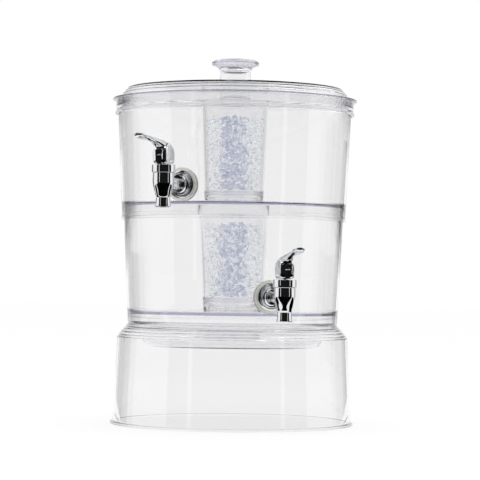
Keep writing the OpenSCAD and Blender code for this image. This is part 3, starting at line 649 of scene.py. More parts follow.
class DISPENSER_OT_stand(bpy.types.Operator):
    """Clear stand: ridged shoulder, round well and lipped foot"""
    bl_idname = "dispenser.stand"
    bl_label = "Stand"

    def execute(self, context):
        stand = context.scene.dispenser_stand
        tank = context.scene.dispenser_tank
        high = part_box("stand")[1]
        lip = high.x
        slope = math.tan(stand.lean)
        wall_low = lip - stand.foot_reach
        shoulder_z = stand.height - stand.shoulder_height
        shoulder = wall_low - slope * (shoulder_z - stand.foot_height)
        groove = shoulder - stand.shoulder_width - EDGE
        seat = stand.height - stand.seat_depth
        plug = groove - tank.bead_reach - tank.skirt_wall - 2 * tank.skirt_gap
        top = high.z
        well = top - stand.well_depth
        foot_in = wall_low + slope * stand.foot_height - stand.wall
        profile = rounded([(0, well), (stand.well_radius, well, stand.well_corner),
                           (stand.well_radius, top, 3 * MM), (plug, top, EASED),
                           (plug, seat, CRISP), (groove, seat, CRISP),
                           (groove, stand.height, EDGE)], steps=6)
        slope_line = ridged_slope(shoulder, shoulder_z, stand.shoulder_width,
                                  stand.shoulder_height, stand.ridges)
        profile += slope_line[::-1]
        # The underside runs one wall's thickness inside
        wall = stand.wall
        seat_in, top_in, plug_in = seat - wall, top - wall, plug - wall
        well_out = stand.well_radius + wall
        outer = rounded([slope_line[0], (wall_low, stand.foot_height, EASED),
                         (lip, stand.foot_height, EDGE), (lip, 0, EDGE), (foot_in, 0, CRISP),
                         (shoulder - wall, shoulder_z - 1 * MM, EASED),
                         (groove + 0.8 * MM, seat_in, EASED), (plug_in, seat_in, EASED),
                         (plug_in, top_in, EASED), (well_out, top_in, EASED),
                         (well_out, well - wall, stand.well_corner + wall), (0, well - wall)],
                        steps=6)
        profile += outer[1:]
        shaped("clear_stand", turned(profile), "plastic", "stand", "stand")
        return {"FINISHED"}


def tap_frame(tier):
    """Matrix to a tap: +X runs out of the tank's wall, the shank's axis is at z = 0."""
    tap = bpy.context.scene.dispenser_tap
    place = Vector(JOINTS[f"{tier}_lever_press"]["pos_m"])
    outward = Vector((place.x, place.y, 0))
    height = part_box(f"{tier}_tap_body")[0].z + tap.spout_drop
    x = outward.normalized()
    start = x * (outward.length - tap.reach)
    return frame_matrix(x, UP.cross(x), (start.x, start.y, height))


def shank_frame(tier):
    """Matrix that lays a piece spun about Z along a tap's shank."""
    return tap_frame(tier) @ Matrix.Rotation(math.pi / 2, 4, "Y")


def frame_matrix(x, y, origin):
    """Matrix with these X and Y axes and this origin."""
    z = x.cross(y)
    matrix = Matrix((x, y, z)).transposed().to_4x4()
    matrix.translation = Vector(origin)
    return matrix


def barrel_frame(tier):
    """Matrix to a tap's barrel: its axis is Z, and z = 0 is the shank's axis."""
    return tap_frame(tier) @ Matrix.Translation((bpy.context.scene.dispenser_tap.reach, 0, 0))


def lever_frame(tier):
    """Matrix to a lever at rest: its pin is Y, and +X runs along the lever."""
    joint = JOINTS[f"{tier}_lever_press"]
    y = Vector(joint["axis"]).normalized()
    x = y.cross(UP).normalized()
    droop = bpy.context.scene.dispenser_tap.upper_droop if tier == "upper" else 0.0
    return frame_matrix(x, y, joint["pos_m"]) @ Matrix.Rotation(droop, 4, "Y")


def along_x(bm):
    """Turns a piece spun about Z so that its axis is X."""
    return moved(bm, Matrix.Rotation(math.pi / 2, 4, "Y"))


def tab_height():
    """Height of a twist-lock's tab: a core's and a tank's go one over the other in the ring."""
    core = bpy.context.scene.dispenser_core
    return (core.boss_height - 0.3 * MM - 2 * core.lock_gap) / 2


def lock_tabs(radius_in, radius_out, low, high, number=3):
    """The tabs of a twist-lock, evenly round, as one bmesh."""
    angle = bpy.context.scene.dispenser_core.tab_angle
    outline = [(radius_in, low), (radius_out, low), (radius_out, high), (radius_in, high)]
    return gathered(moved(turned(outline, steps=12, angle=angle),
                          Matrix.Rotation(k * math.tau / number - angle / 2, 4, "Z"))
                    for k in range(number))


class DISPENSER_OT_tanks(bpy.types.Operator):
    """Clear tanks: leaning wall, floor, beaded skirt and twist-lock ring"""
    bl_idname = "dispenser.tanks"
    bl_label = "Tanks"

    def execute(self, context):
        sizes = context.scene.dispenser_tank
        core = context.scene.dispenser_core
        tap = context.scene.dispenser_tap
        for tier in TIERS:
            low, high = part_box(f"{tier}_tank")
            slope = math.tan(sizes.lean)
            rim = high.z - CONTACT_GAP
            foot = high.x - slope * (high.z - low.z)
            under = low.z + sizes.skirt_height
            floor = under + sizes.floor

            def wall(z):
                """Outside radius of the wall at a height."""
                return foot + slope * (z - low.z)

            boss_out = core.foot_radius - core.wall - core.lock_gap - core.tab_reach
            boss_in = boss_out - core.boss_wall
            # Rings of points below and above the tap, so that its hole cuts one short band only
            tap_z = tap_frame(tier).translation.z
            behind_tap = [(wall(z), z) for z in (tap_z - tap.shank * 2, tap_z + tap.shank * 2)]
            inside_tap = [(r - sizes.wall, z) for r, z in behind_tap[::-1]]
            corners = [(wall(low.z) - sizes.skirt_wall, low.z, CRISP)]
            corners += skirt_foot(wall(low.z), low.z, sizes)
            corners += behind_tap
            corners += [(wall(rim), rim, EDGE), (wall(rim) - sizes.wall, rim, EDGE)]
            corners += inside_tap
            boss_top = floor + core.boss_height
            corners += [(wall(floor) - sizes.wall, floor, sizes.floor_corner),
                        (boss_out, floor, CRISP), (boss_out, boss_top, EDGE),
                        (boss_in, boss_top, EDGE), (boss_in, floor, CRISP)]
            profile = rounded(corners)
            profile += [(0, floor), (0, under)]
            profile += rounded([(0, under), (wall(under) - sizes.skirt_wall, under, EDGE),
                                (wall(low.z) - sizes.skirt_wall, low.z)])[1:-1]
            start = profile.index((0, under))
            profile = profile[start:] + profile[:start]
            tank = turned(profile, closed=False)
            tab_top = boss_top - EDGE
            tank = combined(tank, lock_tabs(boss_out - 1 * MM, boss_out + core.tab_reach,
                                            tab_top - tab_height(), tab_top), "UNION")
            hole = cylinder(tap.shank + 0.4 * MM, -2 * sizes.wall, 2 * sizes.wall)
            tank = combined(tank, moved(hole, shank_frame(tier)), "DIFFERENCE")
            shaped(f"clear_{tier}_tank", tank, "plastic", f"{tier}_tier", f"{tier}_tank")
        return {"FINISHED"}


class DISPENSER_OT_lid(bpy.types.Operator):
    """Clear lid: ridged dome, flange, skirt and plug"""
    bl_idname = "dispenser.lid"
    bl_label = "Lid"

    def execute(self, context):
        sizes = context.scene.dispenser_lid
        tank = context.scene.dispenser_tank
        low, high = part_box("lid")
        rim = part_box("upper_tank")[1]
        skirt_in = rim.x + tank.skirt_gap
        skirt_out = skirt_in + sizes.skirt_wall
        flange = high.x
        under = rim.z
        dome = rim.x - tank.wall - sizes.plug_gap
        band = under + sizes.flange_wall + sizes.band_height
        crown_z = band + sizes.bevel_height
        crown = dome - sizes.bevel_width
        top = crown_z + sizes.crown_height
        pad = sizes.knob_neck + 4 * MM
        boss = sizes.knob_neck - sizes.knob_wall - 0.3 * MM
        corners = [(skirt_in, low.z, CRISP)] + skirt_foot(skirt_out, low.z, tank)
        corners += [(skirt_out, under, CRISP), (flange, under, EDGE),
                    (flange, under + sizes.flange_wall, EDGE),
                    (dome, under + sizes.flange_wall, 0.8 * MM), (dome, band, CRISP)]
        profile = rounded(corners)
        profile += ridged_slope(dome, band, sizes.bevel_width, sizes.bevel_height, sizes.ridges)[1:]
        steps = 8
        for k in range(steps + 1):
            r = crown + (pad - crown) * k / steps
            profile.append((r, crown_z + sizes.crown_height * math.sin(math.pi / 2 * k / steps)))
        profile += rounded([(pad, top), (boss, top, CRISP), (boss, top + sizes.knob_boss, EDGE),
                            (0, top + sizes.knob_boss)])[1:]
        inner = rounded([(0, top - sizes.wall), (pad, top - sizes.wall, 8 * MM),
                         (crown - 1.2 * MM, crown_z - sizes.wall, 4 * MM),
                         (dome - sizes.wall, band - 1.1 * MM, 2 * MM),
                         (dome - sizes.wall, under - sizes.plug_height, EDGE),
                         (dome, under - sizes.plug_height, EDGE),
                         (dome, under, CRISP), (skirt_in, under, CRISP), (skirt_in, low.z)])
        profile = inner[:-1] + profile
        lid = shaped("clear_lid", turned(profile, closed=False), "plastic", "lid", "lid")
        lid.data.materials.append(material_for("rim"))
        # The flange's outer edge takes the rim's finish, whose darker violet-grey is painted shade
        # for the sheet seen edge on
        for face in lid.data.polygons:
            if face.center.xy.length > flange - EDGE:
                face.material_index = 1
        return {"FINISHED"}


class DISPENSER_OT_knob(bpy.types.Operator):
    """Clear knob: a hollow neck that flares into a domed head"""
    bl_idname = "dispenser.knob"
    bl_label = "Knob"

    def execute(self, context):
        sizes = context.scene.dispenser_lid
        low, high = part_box("lid_knob")
        base = low.z + CONTACT_GAP
        top = high.z
        head = top - sizes.knob_head
        radius = high.x
        neck = sizes.knob_neck
        inside = neck - sizes.knob_wall
        crown = 6 * MM
        rim = 2.6 * MM
        profile = [(inside, base), (neck + 0.4 * MM, base), (neck + 0.6 * MM, base + 0.4 * MM),
                   (neck, base + 1.2 * MM)]
        profile += smooth_line((neck, head - 3 * MM), (neck + 0.6 * MM, head + 3 * MM),
                               (radius - 5 * MM, head + 4.6 * MM),
                               (radius - 0.6 * MM, top - crown - rim))
        # The head's rim, round from 30 degrees below to 50 degrees above
        turns = [math.radians(-30 + 80 * k / 8) for k in range(9)]
        profile += [(radius - rim + rim * math.cos(a),
                     top - crown + rim * math.sin(a)) for a in turns]
        profile += smooth_line((radius - rim, top - crown + 3 * MM), (radius - 7 * MM, top - 1 * MM),
                               (radius - 13 * MM, top), (0, top))
        hollow = smooth_line((0, top - crown), (inside * 0.7, top - crown),
                             (inside, top - crown - 4 * MM), (inside, top - crown - 12 * MM))
        profile = hollow + profile
        shaped("clear_knob", turned(profile, steps=192, closed=False), "plastic", "lid", "lid_knob")
        return {"FINISHED"}


def core_lines(tier):
    """Heights of an ice core's foot, top and neck, and its radius under and at the collar."""
    sizes = bpy.context.scene.dispenser_core
    low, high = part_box(f"{tier}_ice_core")
    step = sizes.lower_step if tier == "lower" else sizes.upper_step
    return low.z, high.z, high.z - sizes.collar_height, high.x - step, high.x


class DISPENSER_OT_cores(bpy.types.Operator):
    """Clear ice cores: tapered tubes on hollow feet, with a collar at the top"""
    bl_idname = "dispenser.cores"
    bl_label = "Ice cores"

    def execute(self, context):
        sizes = context.scene.dispenser_core
        for tier in TIERS:
            foot_z, top, neck_z, radius, collar = core_lines(tier)
            step = collar - radius
            foot = sizes.foot_radius
            bottom = foot_z + sizes.foot_height
            inside = bottom + sizes.wall
            foot_in, radius_in, collar_in = (r - sizes.wall for r in (foot, radius, collar))
            corners = [(0, bottom), (foot_in, bottom, 0.8 * MM), (foot_in, foot_z, CRISP),
                       (foot, foot_z, EDGE), (radius, neck_z - step, EASED), (collar, neck_z, EASED),
                       (collar, top, EDGE), (collar_in, top, EDGE),
                       (collar_in, neck_z + 1 * MM, EASED),
                       (radius_in, neck_z - step + 1 * MM, EASED),
                       (foot_in, inside, 4 * MM), (0, inside)]
            core = combined(turned(rounded(corners), closed=False),
                            lock_tabs(foot_in - sizes.tab_reach, foot - sizes.wall / 2,
                                      foot_z + 0.02 * MM, foot_z + tab_height()), "UNION")
            shaped(f"clear_{tier}_core", core, "plastic", f"{tier}_core", f"{tier}_ice_core")
        return {"FINISHED"}


# Ice


def ice_chip(draw, size):
    """One split chip: the hull of a few points in a flattened ball."""
    bm = bmesh.new()
    squash = Vector((1.0, draw.uniform(0.55, 0.95), draw.uniform(0.4, 0.8)))
    for _ in range(CHIP_POINTS):
        point = Vector((draw.gauss(0, 1), draw.gauss(0, 1), draw.gauss(0, 1))).normalized()
        bm.verts.new(Vector(p * q for p, q in zip(point, squash)) * (size / 2))
    hull = bmesh.ops.convex_hull(bm, input=bm.verts)
    inner = hull["geom_interior"] + hull["geom_unused"]
    spare = [item for item in inner if isinstance(item, bmesh.types.BMVert)]
    bmesh.ops.delete(bm, geom=spare, context="VERTS")
    return bm


class DISPENSER_OT_ice(bpy.types.Operator):
    """Crushed ice: chips of split ice piled in each core"""
    bl_idname = "dispenser.ice"
    bl_label = "Crushed ice"

    def execute(self, context):
        ice = context.scene.dispenser_ice
        core = context.scene.dispenser_core
        for tier in TIERS:
            draw = random.Random(f"{tier} ice")
            foot_z, _, neck_z, radius, _ = core_lines(tier)
            bottom = foot_z + core.foot_height + core.wall + 0.4 * MM
            height = ice.lower_height if tier == "lower" else ice.upper_height
            straight = 4 * MM

            def inside(z):
                """Radius of the room for ice: the core's inner wall, less a little air."""
                share = max(0.0, (z - bottom - straight) / (neck_z - bottom - straight))
                return core.foot_radius + (radius - core.foot_radius) * share - core.wall - 0.6 * MM

            placed = []
            chips = []
            for _ in range(ICE_TRIES):
                size = ice.chip * draw.uniform(1 - ice.spread, 1 + ice.spread)
                across = math.sqrt(draw.random())
                z = bottom + size / 2 + (height + ice.heap * (1 - across) - size) * draw.random()
                distance = (inside(z) - size / 4) * across
                angle = draw.uniform(0, math.tau)
                centre = Vector((distance * math.cos(angle), distance * math.sin(angle), z))
                if any((centre - other).length < ICE_PACKING * (size + width)
                       for other, width in placed):
                    continue
                placed.append((centre, size))
                chip = ice_chip(draw, size)
                turn = Matrix.Rotation(draw.uniform(0, math.tau), 4, "Z")
                tip = Matrix.Rotation(draw.uniform(0, math.pi), 4, "X")
                chips.append(moved(chip, Matrix.Translation(centre) @ (turn @ tip)))
            pile = gathered(chips)
            # Points past the core's wall are drawn in to it
            for vertex in pile.verts:
                over = vertex.co.xy.length / inside(vertex.co.z)
                if over > 1:
                    vertex.co.xy /= over
            bmesh.ops.recalc_face_normals(pile, faces=pile.faces)
            shaped(f"crushed_{tier}_ice", pile, "ice", f"{tier}_core", f"{tier}_ice", sharp=0.01)
        return {"FINISHED"}


# Taps


class DISPENSER_OT_tap_bodies(bpy.types.Operator):
    """Tap bodies: threaded shank, stepped flange, neck, barrel and spout, chromed"""
    bl_idname = "dispenser.tap_bodies"
    bl_label = "Tap bodies"

    def execute(self, context):
        tap = context.scene.dispenser_tap
        wall = context.scene.dispenser_tank.wall
        gasket = tap.gasket_thick
        pitch = 2.4 * MM
        inner_end = -wall - tap.shank_length
        thread = [(0, inner_end), (tap.shank - 1 * MM, inner_end)]
        for k in range(int((tap.shank_length - 4 * MM) / pitch)):
            z = inner_end + 2 * MM + k * pitch
            thread += [(tap.shank - 0.5 * MM, z), (tap.shank, z + pitch / 2)]
        # Steps of the flange in millimetres: in from its edge, out from the gasket, rounding
        steps = ((0, 0, 0.6), (0, 2.4, 0.9), (2.5, 3.4, 0.7), (2.9, 2.2, 0.3), (3.5, 2.2, 0.3),
                 (3.8, 5.0, 1), (5.8, 5.2, 0.6), (6.1, 4.0, 0.3))
        rings = [(tap.flange - inset * MM, gasket + rise * MM, rounding * MM)
                 for inset, rise, rounding in steps]
        rings = rounded([(tap.shank, 0), (tap.shank, gasket)] + rings)
        bell = smooth_line((tap.flange - 6.4 * MM, gasket + 4 * MM),
                           (tap.neck + 1.2 * MM, gasket + 4.6 * MM),
                           (tap.neck, gasket + 8 * MM), (tap.neck, gasket + 15 * MM))
        end = tap.reach - tap.barrel / 2
        shank = thread + rings + bell + [(tap.neck, end), (0, end)]
        spigot = tap.chamber + 1.4 * MM
        top = tap.barrel_top + tap.bonnet_height - 2.9 * MM
        barrel = rounded([(0, top), (spigot, top, CRISP), (spigot, tap.barrel_top, 0.2 * MM),
                          (tap.barrel, tap.barrel_top, 0.4 * MM), (tap.barrel + 0.15 * MM, 3 * MM)])
        barrel += smooth_line((tap.barrel + 0.2 * MM, 2.6 * MM), (tap.barrel + 0.1 * MM, -4.6 * MM),
                              (tap.spout + 1.4 * MM, -11.4 * MM), (tap.spout + 0.4 * MM, -17.2 * MM))
        barrel += rounded([(tap.spout, -17.6 * MM, CRISP), (tap.spout + 0.2 * MM, -24 * MM, 3 * MM),
                           (tap.mouth, 1 * MM - tap.spout_drop, 0.8 * MM),
                           (tap.mouth - 0.3 * MM, -tap.spout_drop, 0.4 * MM),
                           (0, -tap.spout_drop)])
        throat = 6.6 * MM
        opening = tap.mouth - 1.3 * MM
        past = 1 * MM
        bore = [(0, top + past), (tap.chamber, top + past), (tap.chamber, SEAT_Z),
                (throat, SEAT_Z - tap.chamber + throat),
                (tap.spout - 1.5 * MM, 4 * MM - tap.spout_drop), (opening, -tap.spout_drop),
                (opening, -tap.spout_drop - past), (0, -tap.spout_drop - past)]
        to_barrel = Matrix.Translation((tap.reach, 0, 0))
        for tier in TIERS:
            body = combined(along_x(turned(shank, SMALL_STEPS, closed=False)),
                            moved(turned(barrel, SMALL_STEPS, closed=False), to_barrel), "UNION")
            way = moved(turned(bore, SMALL_STEPS, closed=False), to_barrel)
            body = combined(body, way, "DIFFERENCE")
            inlet = along_x(cylinder(tap.inlet, inner_end - past, tap.reach - tap.chamber / 2))
            body = combined(body, inlet, "DIFFERENCE")
            moved(body, tap_frame(tier))
            shaped(f"chromed_{tier}_tap", body, "chrome", f"{tier}_tier", f"{tier}_tap_body")
        return {"FINISHED"}


class DISPENSER_OT_bonnets(bpy.types.Operator):
    """Bonnets: the ring-shaped caps on the barrels"""
    bl_idname = "dispenser.bonnets"
    bl_label = "Bonnets"

    def execute(self, context):
        tap = context.scene.dispenser_tap
        top = tap.barrel_top + tap.bonnet_height
        under = top - 2.6 * MM
        spigot = tap.chamber + 1.7 * MM
        hole = tap.stem + 0.05 * MM
        profile = rounded([(tap.bonnet, tap.barrel_top + CONTACT_GAP, EDGE), (tap.bonnet, top, EASED),
                           (hole, top, 0.2 * MM), (hole, under), (spigot, under),
                           (spigot, tap.barrel_top + CONTACT_GAP)])
        for tier in TIERS:
            bonnet = moved(turned(profile, SMALL_STEPS), barrel_frame(tier))
            shaped(f"chromed_{tier}_bonnet", bonnet, "chrome", f"{tier}_tier", f"{tier}_bonnet")
        return {"FINISHED"}


class DISPENSER_OT_gaskets(bpy.types.Operator):
    """Gaskets: silicone rings on both sides of the wall, moulded to its curve"""
    bl_idname = "dispenser.gaskets"
    bl_label = "Gaskets"

    def execute(self, context):
        tap = context.scene.dispenser_tap
        wall = context.scene.dispenser_tank.wall
        hole = tap.shank + 0.2 * MM
        slope = math.tan(context.scene.dispenser_tank.lean)
        for tier in TIERS:
            place = tap_frame(tier)
            to_tap = place.inverted()
            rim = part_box(f"{tier}_tank")[1]
            for side, radius, face in (("outer", tap.gasket, tap.gasket_thick),
                                       ("inner", tap.washer, -wall - tap.washer_thick)):
                back = 0.0 if side == "outer" else -wall
                away = 1.0 if side == "outer" else -1.0
                # Rings of points on both faces, so that the ring can bend
                rings = [hole + (radius - hole) * k / 8 for k in range(9)]
                chamfer = 0.4 * MM
                flat = [(r, face) for r in rings[:-1]]
                flat += [(radius - chamfer, face), (radius, face - away * chamfer)]
                profile = [(r, back) for r in rings[::-1]] + flat
                ring = moved(along_x(turned(profile, SMALL_STEPS, closed=True)), place)
                # The face against the wall takes the wall's curve, with a little air between
                for vertex in ring.verts:
                    if abs((to_tap @ vertex.co).x - back) > WELD:
                        continue
                    target = rim.x - slope * (rim.z - vertex.co.z) + back + away * 0.08 * MM
                    side_way = vertex.co.xy.dot(place.col[1].xy)
                    outward = math.sqrt(target ** 2 - side_way ** 2)
                    vertex.co += place.col[0].xyz * (outward - vertex.co.xy.dot(place.col[0].xy))
                bmesh.ops.recalc_face_normals(ring, faces=ring.faces)
                shaped(f"silicone_{tier}_{side}_gasket", ring, "silicone", f"{tier}_tier",
                       f"{tier}_{side}_gasket")
        return {"FINISHED"}


class DISPENSER_OT_nuts(bpy.types.Operator):
    """Shank nuts: chamfered hexagons inside the tanks"""
    bl_idname = "dispenser.nuts"
    bl_label = "Shank nuts"

    def execute(self, context):
        tap = context.scene.dispenser_tap
        wall = context.scene.dispenser_tank.wall
        flats = 25 * MM
        thick = 7 * MM
        face = -wall - tap.washer_thick - 0.05 * MM
        corner = flats / 2 / math.cos(math.pi / 6)
        back = face - thick
        over = corner + 0.2 * MM
        chamfer = [(0, back), (flats / 2, back), (over, back + 1.4 * MM),
                   (over, face - 0.6 * MM), (flats / 2 + 0.6 * MM, face), (0, face)]
        for tier in TIERS:
            nut = combined(cylinder(corner, back, face, segments=6),
                           turned(chamfer, SMALL_STEPS, closed=False), "INTERSECT")
            hole = cylinder(tap.shank + 0.05 * MM, face - 2 * thick, face + thick)
            nut = moved(combined(nut, hole, "DIFFERENCE"), shank_frame(tier))
            shaped(f"chromed_{tier}_nut", nut, "chrome", f"{tier}_tier", f"{tier}_shank_nut",
                   sharp=math.radians(20))
        return {"FINISHED"}


def lever_section(bm, x, upper, under, low, edge, crown):
    """One ring of a lever's cage: half width, half width below, bottom, edge height, crown."""
    rise = crown - edge
    sag = 0.6 * MM if under < upper else 0.0
    line = [(-upper, edge), (-under, low), (-under / 2, low - 0.75 * sag), (0, low - sag),
            (under / 2, low - 0.75 * sag), (under, low), (upper, edge),
            (0.86 * upper, edge + 0.50 * rise), (0.52 * upper, edge + 0.86 * rise), (0, crown),
            (-0.52 * upper, edge + 0.86 * rise), (-0.86 * upper, edge + 0.50 * rise)]
    ring = [bm.verts.new((x, y, z)) for y, z in line]
    return [bm.edges.new(pair) for pair in zip(ring, ring[1:] + ring[:1])]


def lofted(sections):
    """A closed bmesh bridged through lever sections in millimetres."""
    bm = bmesh.new()
    rings = [lever_section(bm, *[value * MM for value in section]) for section in sections]
    for one, other in zip(rings, rings[1:]):
        bmesh.ops.bridge_loops(bm, edges=one + other)
    bmesh.ops.edgeloop_fill(bm, edges=rings[0])
    bmesh.ops.edgeloop_fill(bm, edges=rings[-1])
    bmesh.ops.recalc_face_normals(bm, faces=bm.faces)
    return bm


class DISPENSER_OT_levers(bpy.types.Operator):
    """Levers: a hood with flat cheeks, a curved arm and an oval paddle"""
    bl_idname = "dispenser.levers"
    bl_label = "Levers"

    def execute(self, context):
        tap = context.scene.dispenser_tap
        # Stations along the lever from its pin, as lever_section takes them, in millimetres
        bottom = (tap.pin_rise - 0.8 * MM) / MM
        half_hood = tap.hood / 2 / MM
        radius = tap.bonnet / MM - 0.1
        flat = math.asin(half_hood / radius)
        hood = []
        back_stations = 5
        for k in range(1, back_stations + 1):
            angle = flat * k / back_stations
            side = radius * math.sin(angle)
            hood.append((-radius * math.cos(angle), side, side, -bottom,
                         1.1 * k, 5.2 + 11.8 * math.sin(angle)))
        hood += [(x, half_hood - slim, half_hood - slim, -bottom, edge, crown)
                 for x, slim, edge, crown in (
                     (-7, 0, 7.2, 16), (-3.5, 0, 8.6, 17.8), (0, 0, 9.6, 18.8),
                     (5, 0.2, 9.8, 18.9), (9, 0.5, 8, 14.3), (13, 1, 5.8, 9.3))]
        half_neck = tap.neck_width / 2 / MM
        half_paddle = tap.paddle / 2 / MM
        arm = [(1, 8.3, 6, 5.3, 9.5, 18.9), (6, 7.9, 5.6, 7, 11.3, 20),
               (11, 7.4, 5.2, 9.4, 13.9, 20.8), (15, 6.9, 5, 11.6, 15.8, 21.4),
               (20, 6.2, 4.8, 13.9, 17.4, 21.8)]
        arm += [(x, half_neck + wide, half_neck - narrow, low, edge, crown)
                for x, wide, narrow, low, edge, crown in (
                    (25, 0.7, 0.5, 15.8, 18.5, 22.6), (31, 0.2, 1, 17, 19.5, 23.6),
                    (38, 0, 1.3, 18.4, 20.6, 24.8), (44, 0.4, 1.1, 18.9, 21.4, 25.7))]
        arm += [(x, above * half_paddle, below * half_paddle, low, edge, crown)
                for x, above, below, low, edge, crown in (
                    (49, 0.75, 0.6, 19.5, 21.8, 26.2), (54, 0.91, 0.75, 20.3, 22.7, 26.8),
                    (59, 1, 0.83, 21.3, 23.8, 27.3), (64, 0.97, 0.8, 22.4, 24.9, 27.7),
                    (68, 0.83, 0.7, 23.4, 25.8, 27.9), (70.6, 0.62, 0.5, 24.3, 26.3, 28),
                    (72, 0.34, 0.26, 25.2, 26.5, 27.8))]
        # Past the hood the arm is stretched to the lever's length
        root, tip = 20, arm[-1][0]
        stretch = (tap.lever / MM - root) / (tip - root)
        arm = [(x if x < root else root + (x - root) * stretch, *rest) for x, *rest in arm]
        half_head = tap.head / 2
        half_slot = half_head + 0.3 * MM
        for tier in TIERS:
            lever = combined(refined(lofted(hood), 2), refined(lofted(arm), 2), "UNION")
            slot = block((-half_head - 2.2 * MM, -half_slot, -12 * MM),
                         (tap.hood, half_slot, 4.8 * MM))
            lever = combined(lever, slot, "DIFFERENCE")
            bore = cylinder(tap.pin + 0.01 * MM, -tap.hood, tap.hood)
            lever = combined(lever, moved(bore, Matrix.Rotation(math.pi / 2, 4, "X")), "DIFFERENCE")
            moved(lever, lever_frame(tier))
            shaped(f"chromed_{tier}_lever", lever, "chrome", f"{tier}_handle", f"{tier}_lever",
                   sharp=math.radians(40))
        return {"FINISHED"}


def coil(radius, wire, low, high, turns, per_turn=24, sides=10):
    """A round wire wound about Z between two heights."""
    bm = bmesh.new()
    ring = []
    for side in range(sides):
        a = math.tau * side / sides
        ring.append(bm.verts.new((radius + wire * math.cos(a), 0.0, low + wire + wire * math.sin(a))))
    edges = [bm.edges.new(pair) for pair in zip(ring, ring[1:] + ring[:1])]
    steps = turns * per_turn
    rise = (0.0, 0.0, (high - low - 2 * wire) / steps)
    end = bmesh.ops.spin(bm, geom=ring + edges, cent=(0, 0, 0), axis=(0, 0, 1), dvec=rise,
                         angle=math.tau * turns, steps=steps, use_merge=False)
    far_edges = [item for item in end["geom_last"] if isinstance(item, bmesh.types.BMEdge)]
    bmesh.ops.edgeloop_fill(bm, edges=edges)
    bmesh.ops.edgeloop_fill(bm, edges=far_edges)
    bmesh.ops.recalc_face_normals(bm, faces=bm.faces)
    return bm


class DISPENSER_OT_valves(bpy.types.Operator):
    """Valve parts: rubber seat cups, springs, and finishes for the CAD pins and stems"""
    bl_idname = "dispenser.valves"
    bl_label = "Valve parts"

    def execute(self, context):
        tap = context.scene.dispenser_tap
        # The cup's cone of 45 degrees closes on the bore's, and its web holds the stem
        radius = tap.chamber - 0.4 * MM
        low, throat = -9.2 * MM, 6.58 * MM
        lip, web, skin = 2 * MM, -3 * MM, 1.2 * MM
        cup = rounded([(0, low), (throat, low, CRISP), (radius, low + radius - throat, 0.4 * MM),
                       (radius, lip, CRISP), (radius - skin, lip, CRISP), (radius - skin, web),
                       (tap.stem, web), (tap.stem, SEAT_Z), (0, SEAT_Z)])
        for tier in TIERS:
            piece = moved(turned(cup, SMALL_STEPS, closed=False), barrel_frame(tier))
            shaped(f"rubber_{tier}_seat", piece, "rubber", f"{tier}_valve", f"{tier}_seat_cup")
            start, end = (corner.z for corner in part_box(f"{tier}_valve_spring"))
            axis = barrel_frame(tier).translation
            spring = moved(coil(tap.spring, tap.spring_wire, start, end, tap.spring_turns),
                           Matrix.Translation((axis.x, axis.y, 0)))
            wound = shaped(f"steel_{tier}_spring", spring, "steel", f"{tier}_valve",
                           f"{tier}_valve_spring")
            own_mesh(wound)
            for node in ("valve_stem", "lever_pin"):
                part = frame["nodes"][f"{tier}_{node}"]
                part.data.materials.clear()
                part.data.materials.append(material_for("chrome"))
        return {"FINISHED"}


# Stage


# Upright flags, each at two angles in degrees from the camera, positive to the right, with its
# grey, its lower and upper edge and its distance in metres. Those with True also show through
# clear pieces.
UPRIGHT_FLAGS = (
    ("front_left_flag", -62, -41, 0.01, -0.05, 0.9, 1.6, False),
    ("front_flag", -37, 46, 0.01, -0.05, 0.9, 1.6, False),
    ("front_right_flag", 50, 74, 0.01, -0.05, 0.9, 1.6, False),
    ("front_upper_flag", -62, 62, 0.15, 0.9, 1.3, 1.6, False),
    ("front_top_flag", -62, 62, 0.0, 1.3, 2.4, 1.6, False),
    ("right_side_flag", 110, 118, 0.8, -0.05, 0.6, 1.6, True),
    ("right_rear_flag", 118, 136, 0.58, -0.05, 0.6, 1.6, True),
    ("right_back_flag", 136, 150, 0.78, -0.05, 0.6, 1.6, True),
    ("left_side_flag", -116, -106, 0.7, -0.05, 0.6, 1.6, True),
    ("left_rear_flag", -136, -116, 0.2, -0.05, 0.6, 1.6, True),
    ("left_back_flag", -150, -136, 0.65, -0.05, 0.6, 1.6, True),
    ("right_edge_flag", 134, 148, 0.1, -0.05, 0.45, 1.5, False),
    ("left_edge_flag", -142, -126, 0.1, -0.05, 0.45, 1.5, False),
)
# Level flags, each with two opposite corners and its height in metres, its grey, and whether it
# shows through clear pieces
LEVEL_FLAGS = (
    ("floor_flag", (-1.5, -2.2), (1.5, -0.41), 0.002, 0.0, False),
    ("side_floor_flag", (-0.28, -0.3), (-1.5, 0.3), 0.002, 0.0, False),
    ("side_floor_flag", (0.28, -0.3), (1.5, 0.3), 0.002, 0.0, False),
    ("overhead_flag", (-0.3, -0.3), (0.3, 0.3), 0.75, 0.2, True),
)
# An upright flag is bent round the set in flat panels of about this many degrees
PANEL_ANGLE = 15


def flag(name, corners, grey, through):
    """A dark panel beside the set, which shows in reflections, and through clear pieces if asked."""
    bm = bmesh.new()
    bm.faces.new([bm.verts.new(corner) for corner in corners])
    panel = linked(name, bm)
    felt, tree = new_material("studio_felt")
    cloth = add(tree, "ShaderNodeEmission", {"Color": WHITE, "Strength": grey})
    add(tree, "ShaderNodeOutputMaterial", {"Surface": cloth.outputs["Emission"]})
    panel.data.materials.append(felt)
    panel.visible_camera = False
    panel.visible_diffuse = False
    panel.visible_transmission = through
    panel.visible_volume_scatter = False
    panel.visible_shadow = False


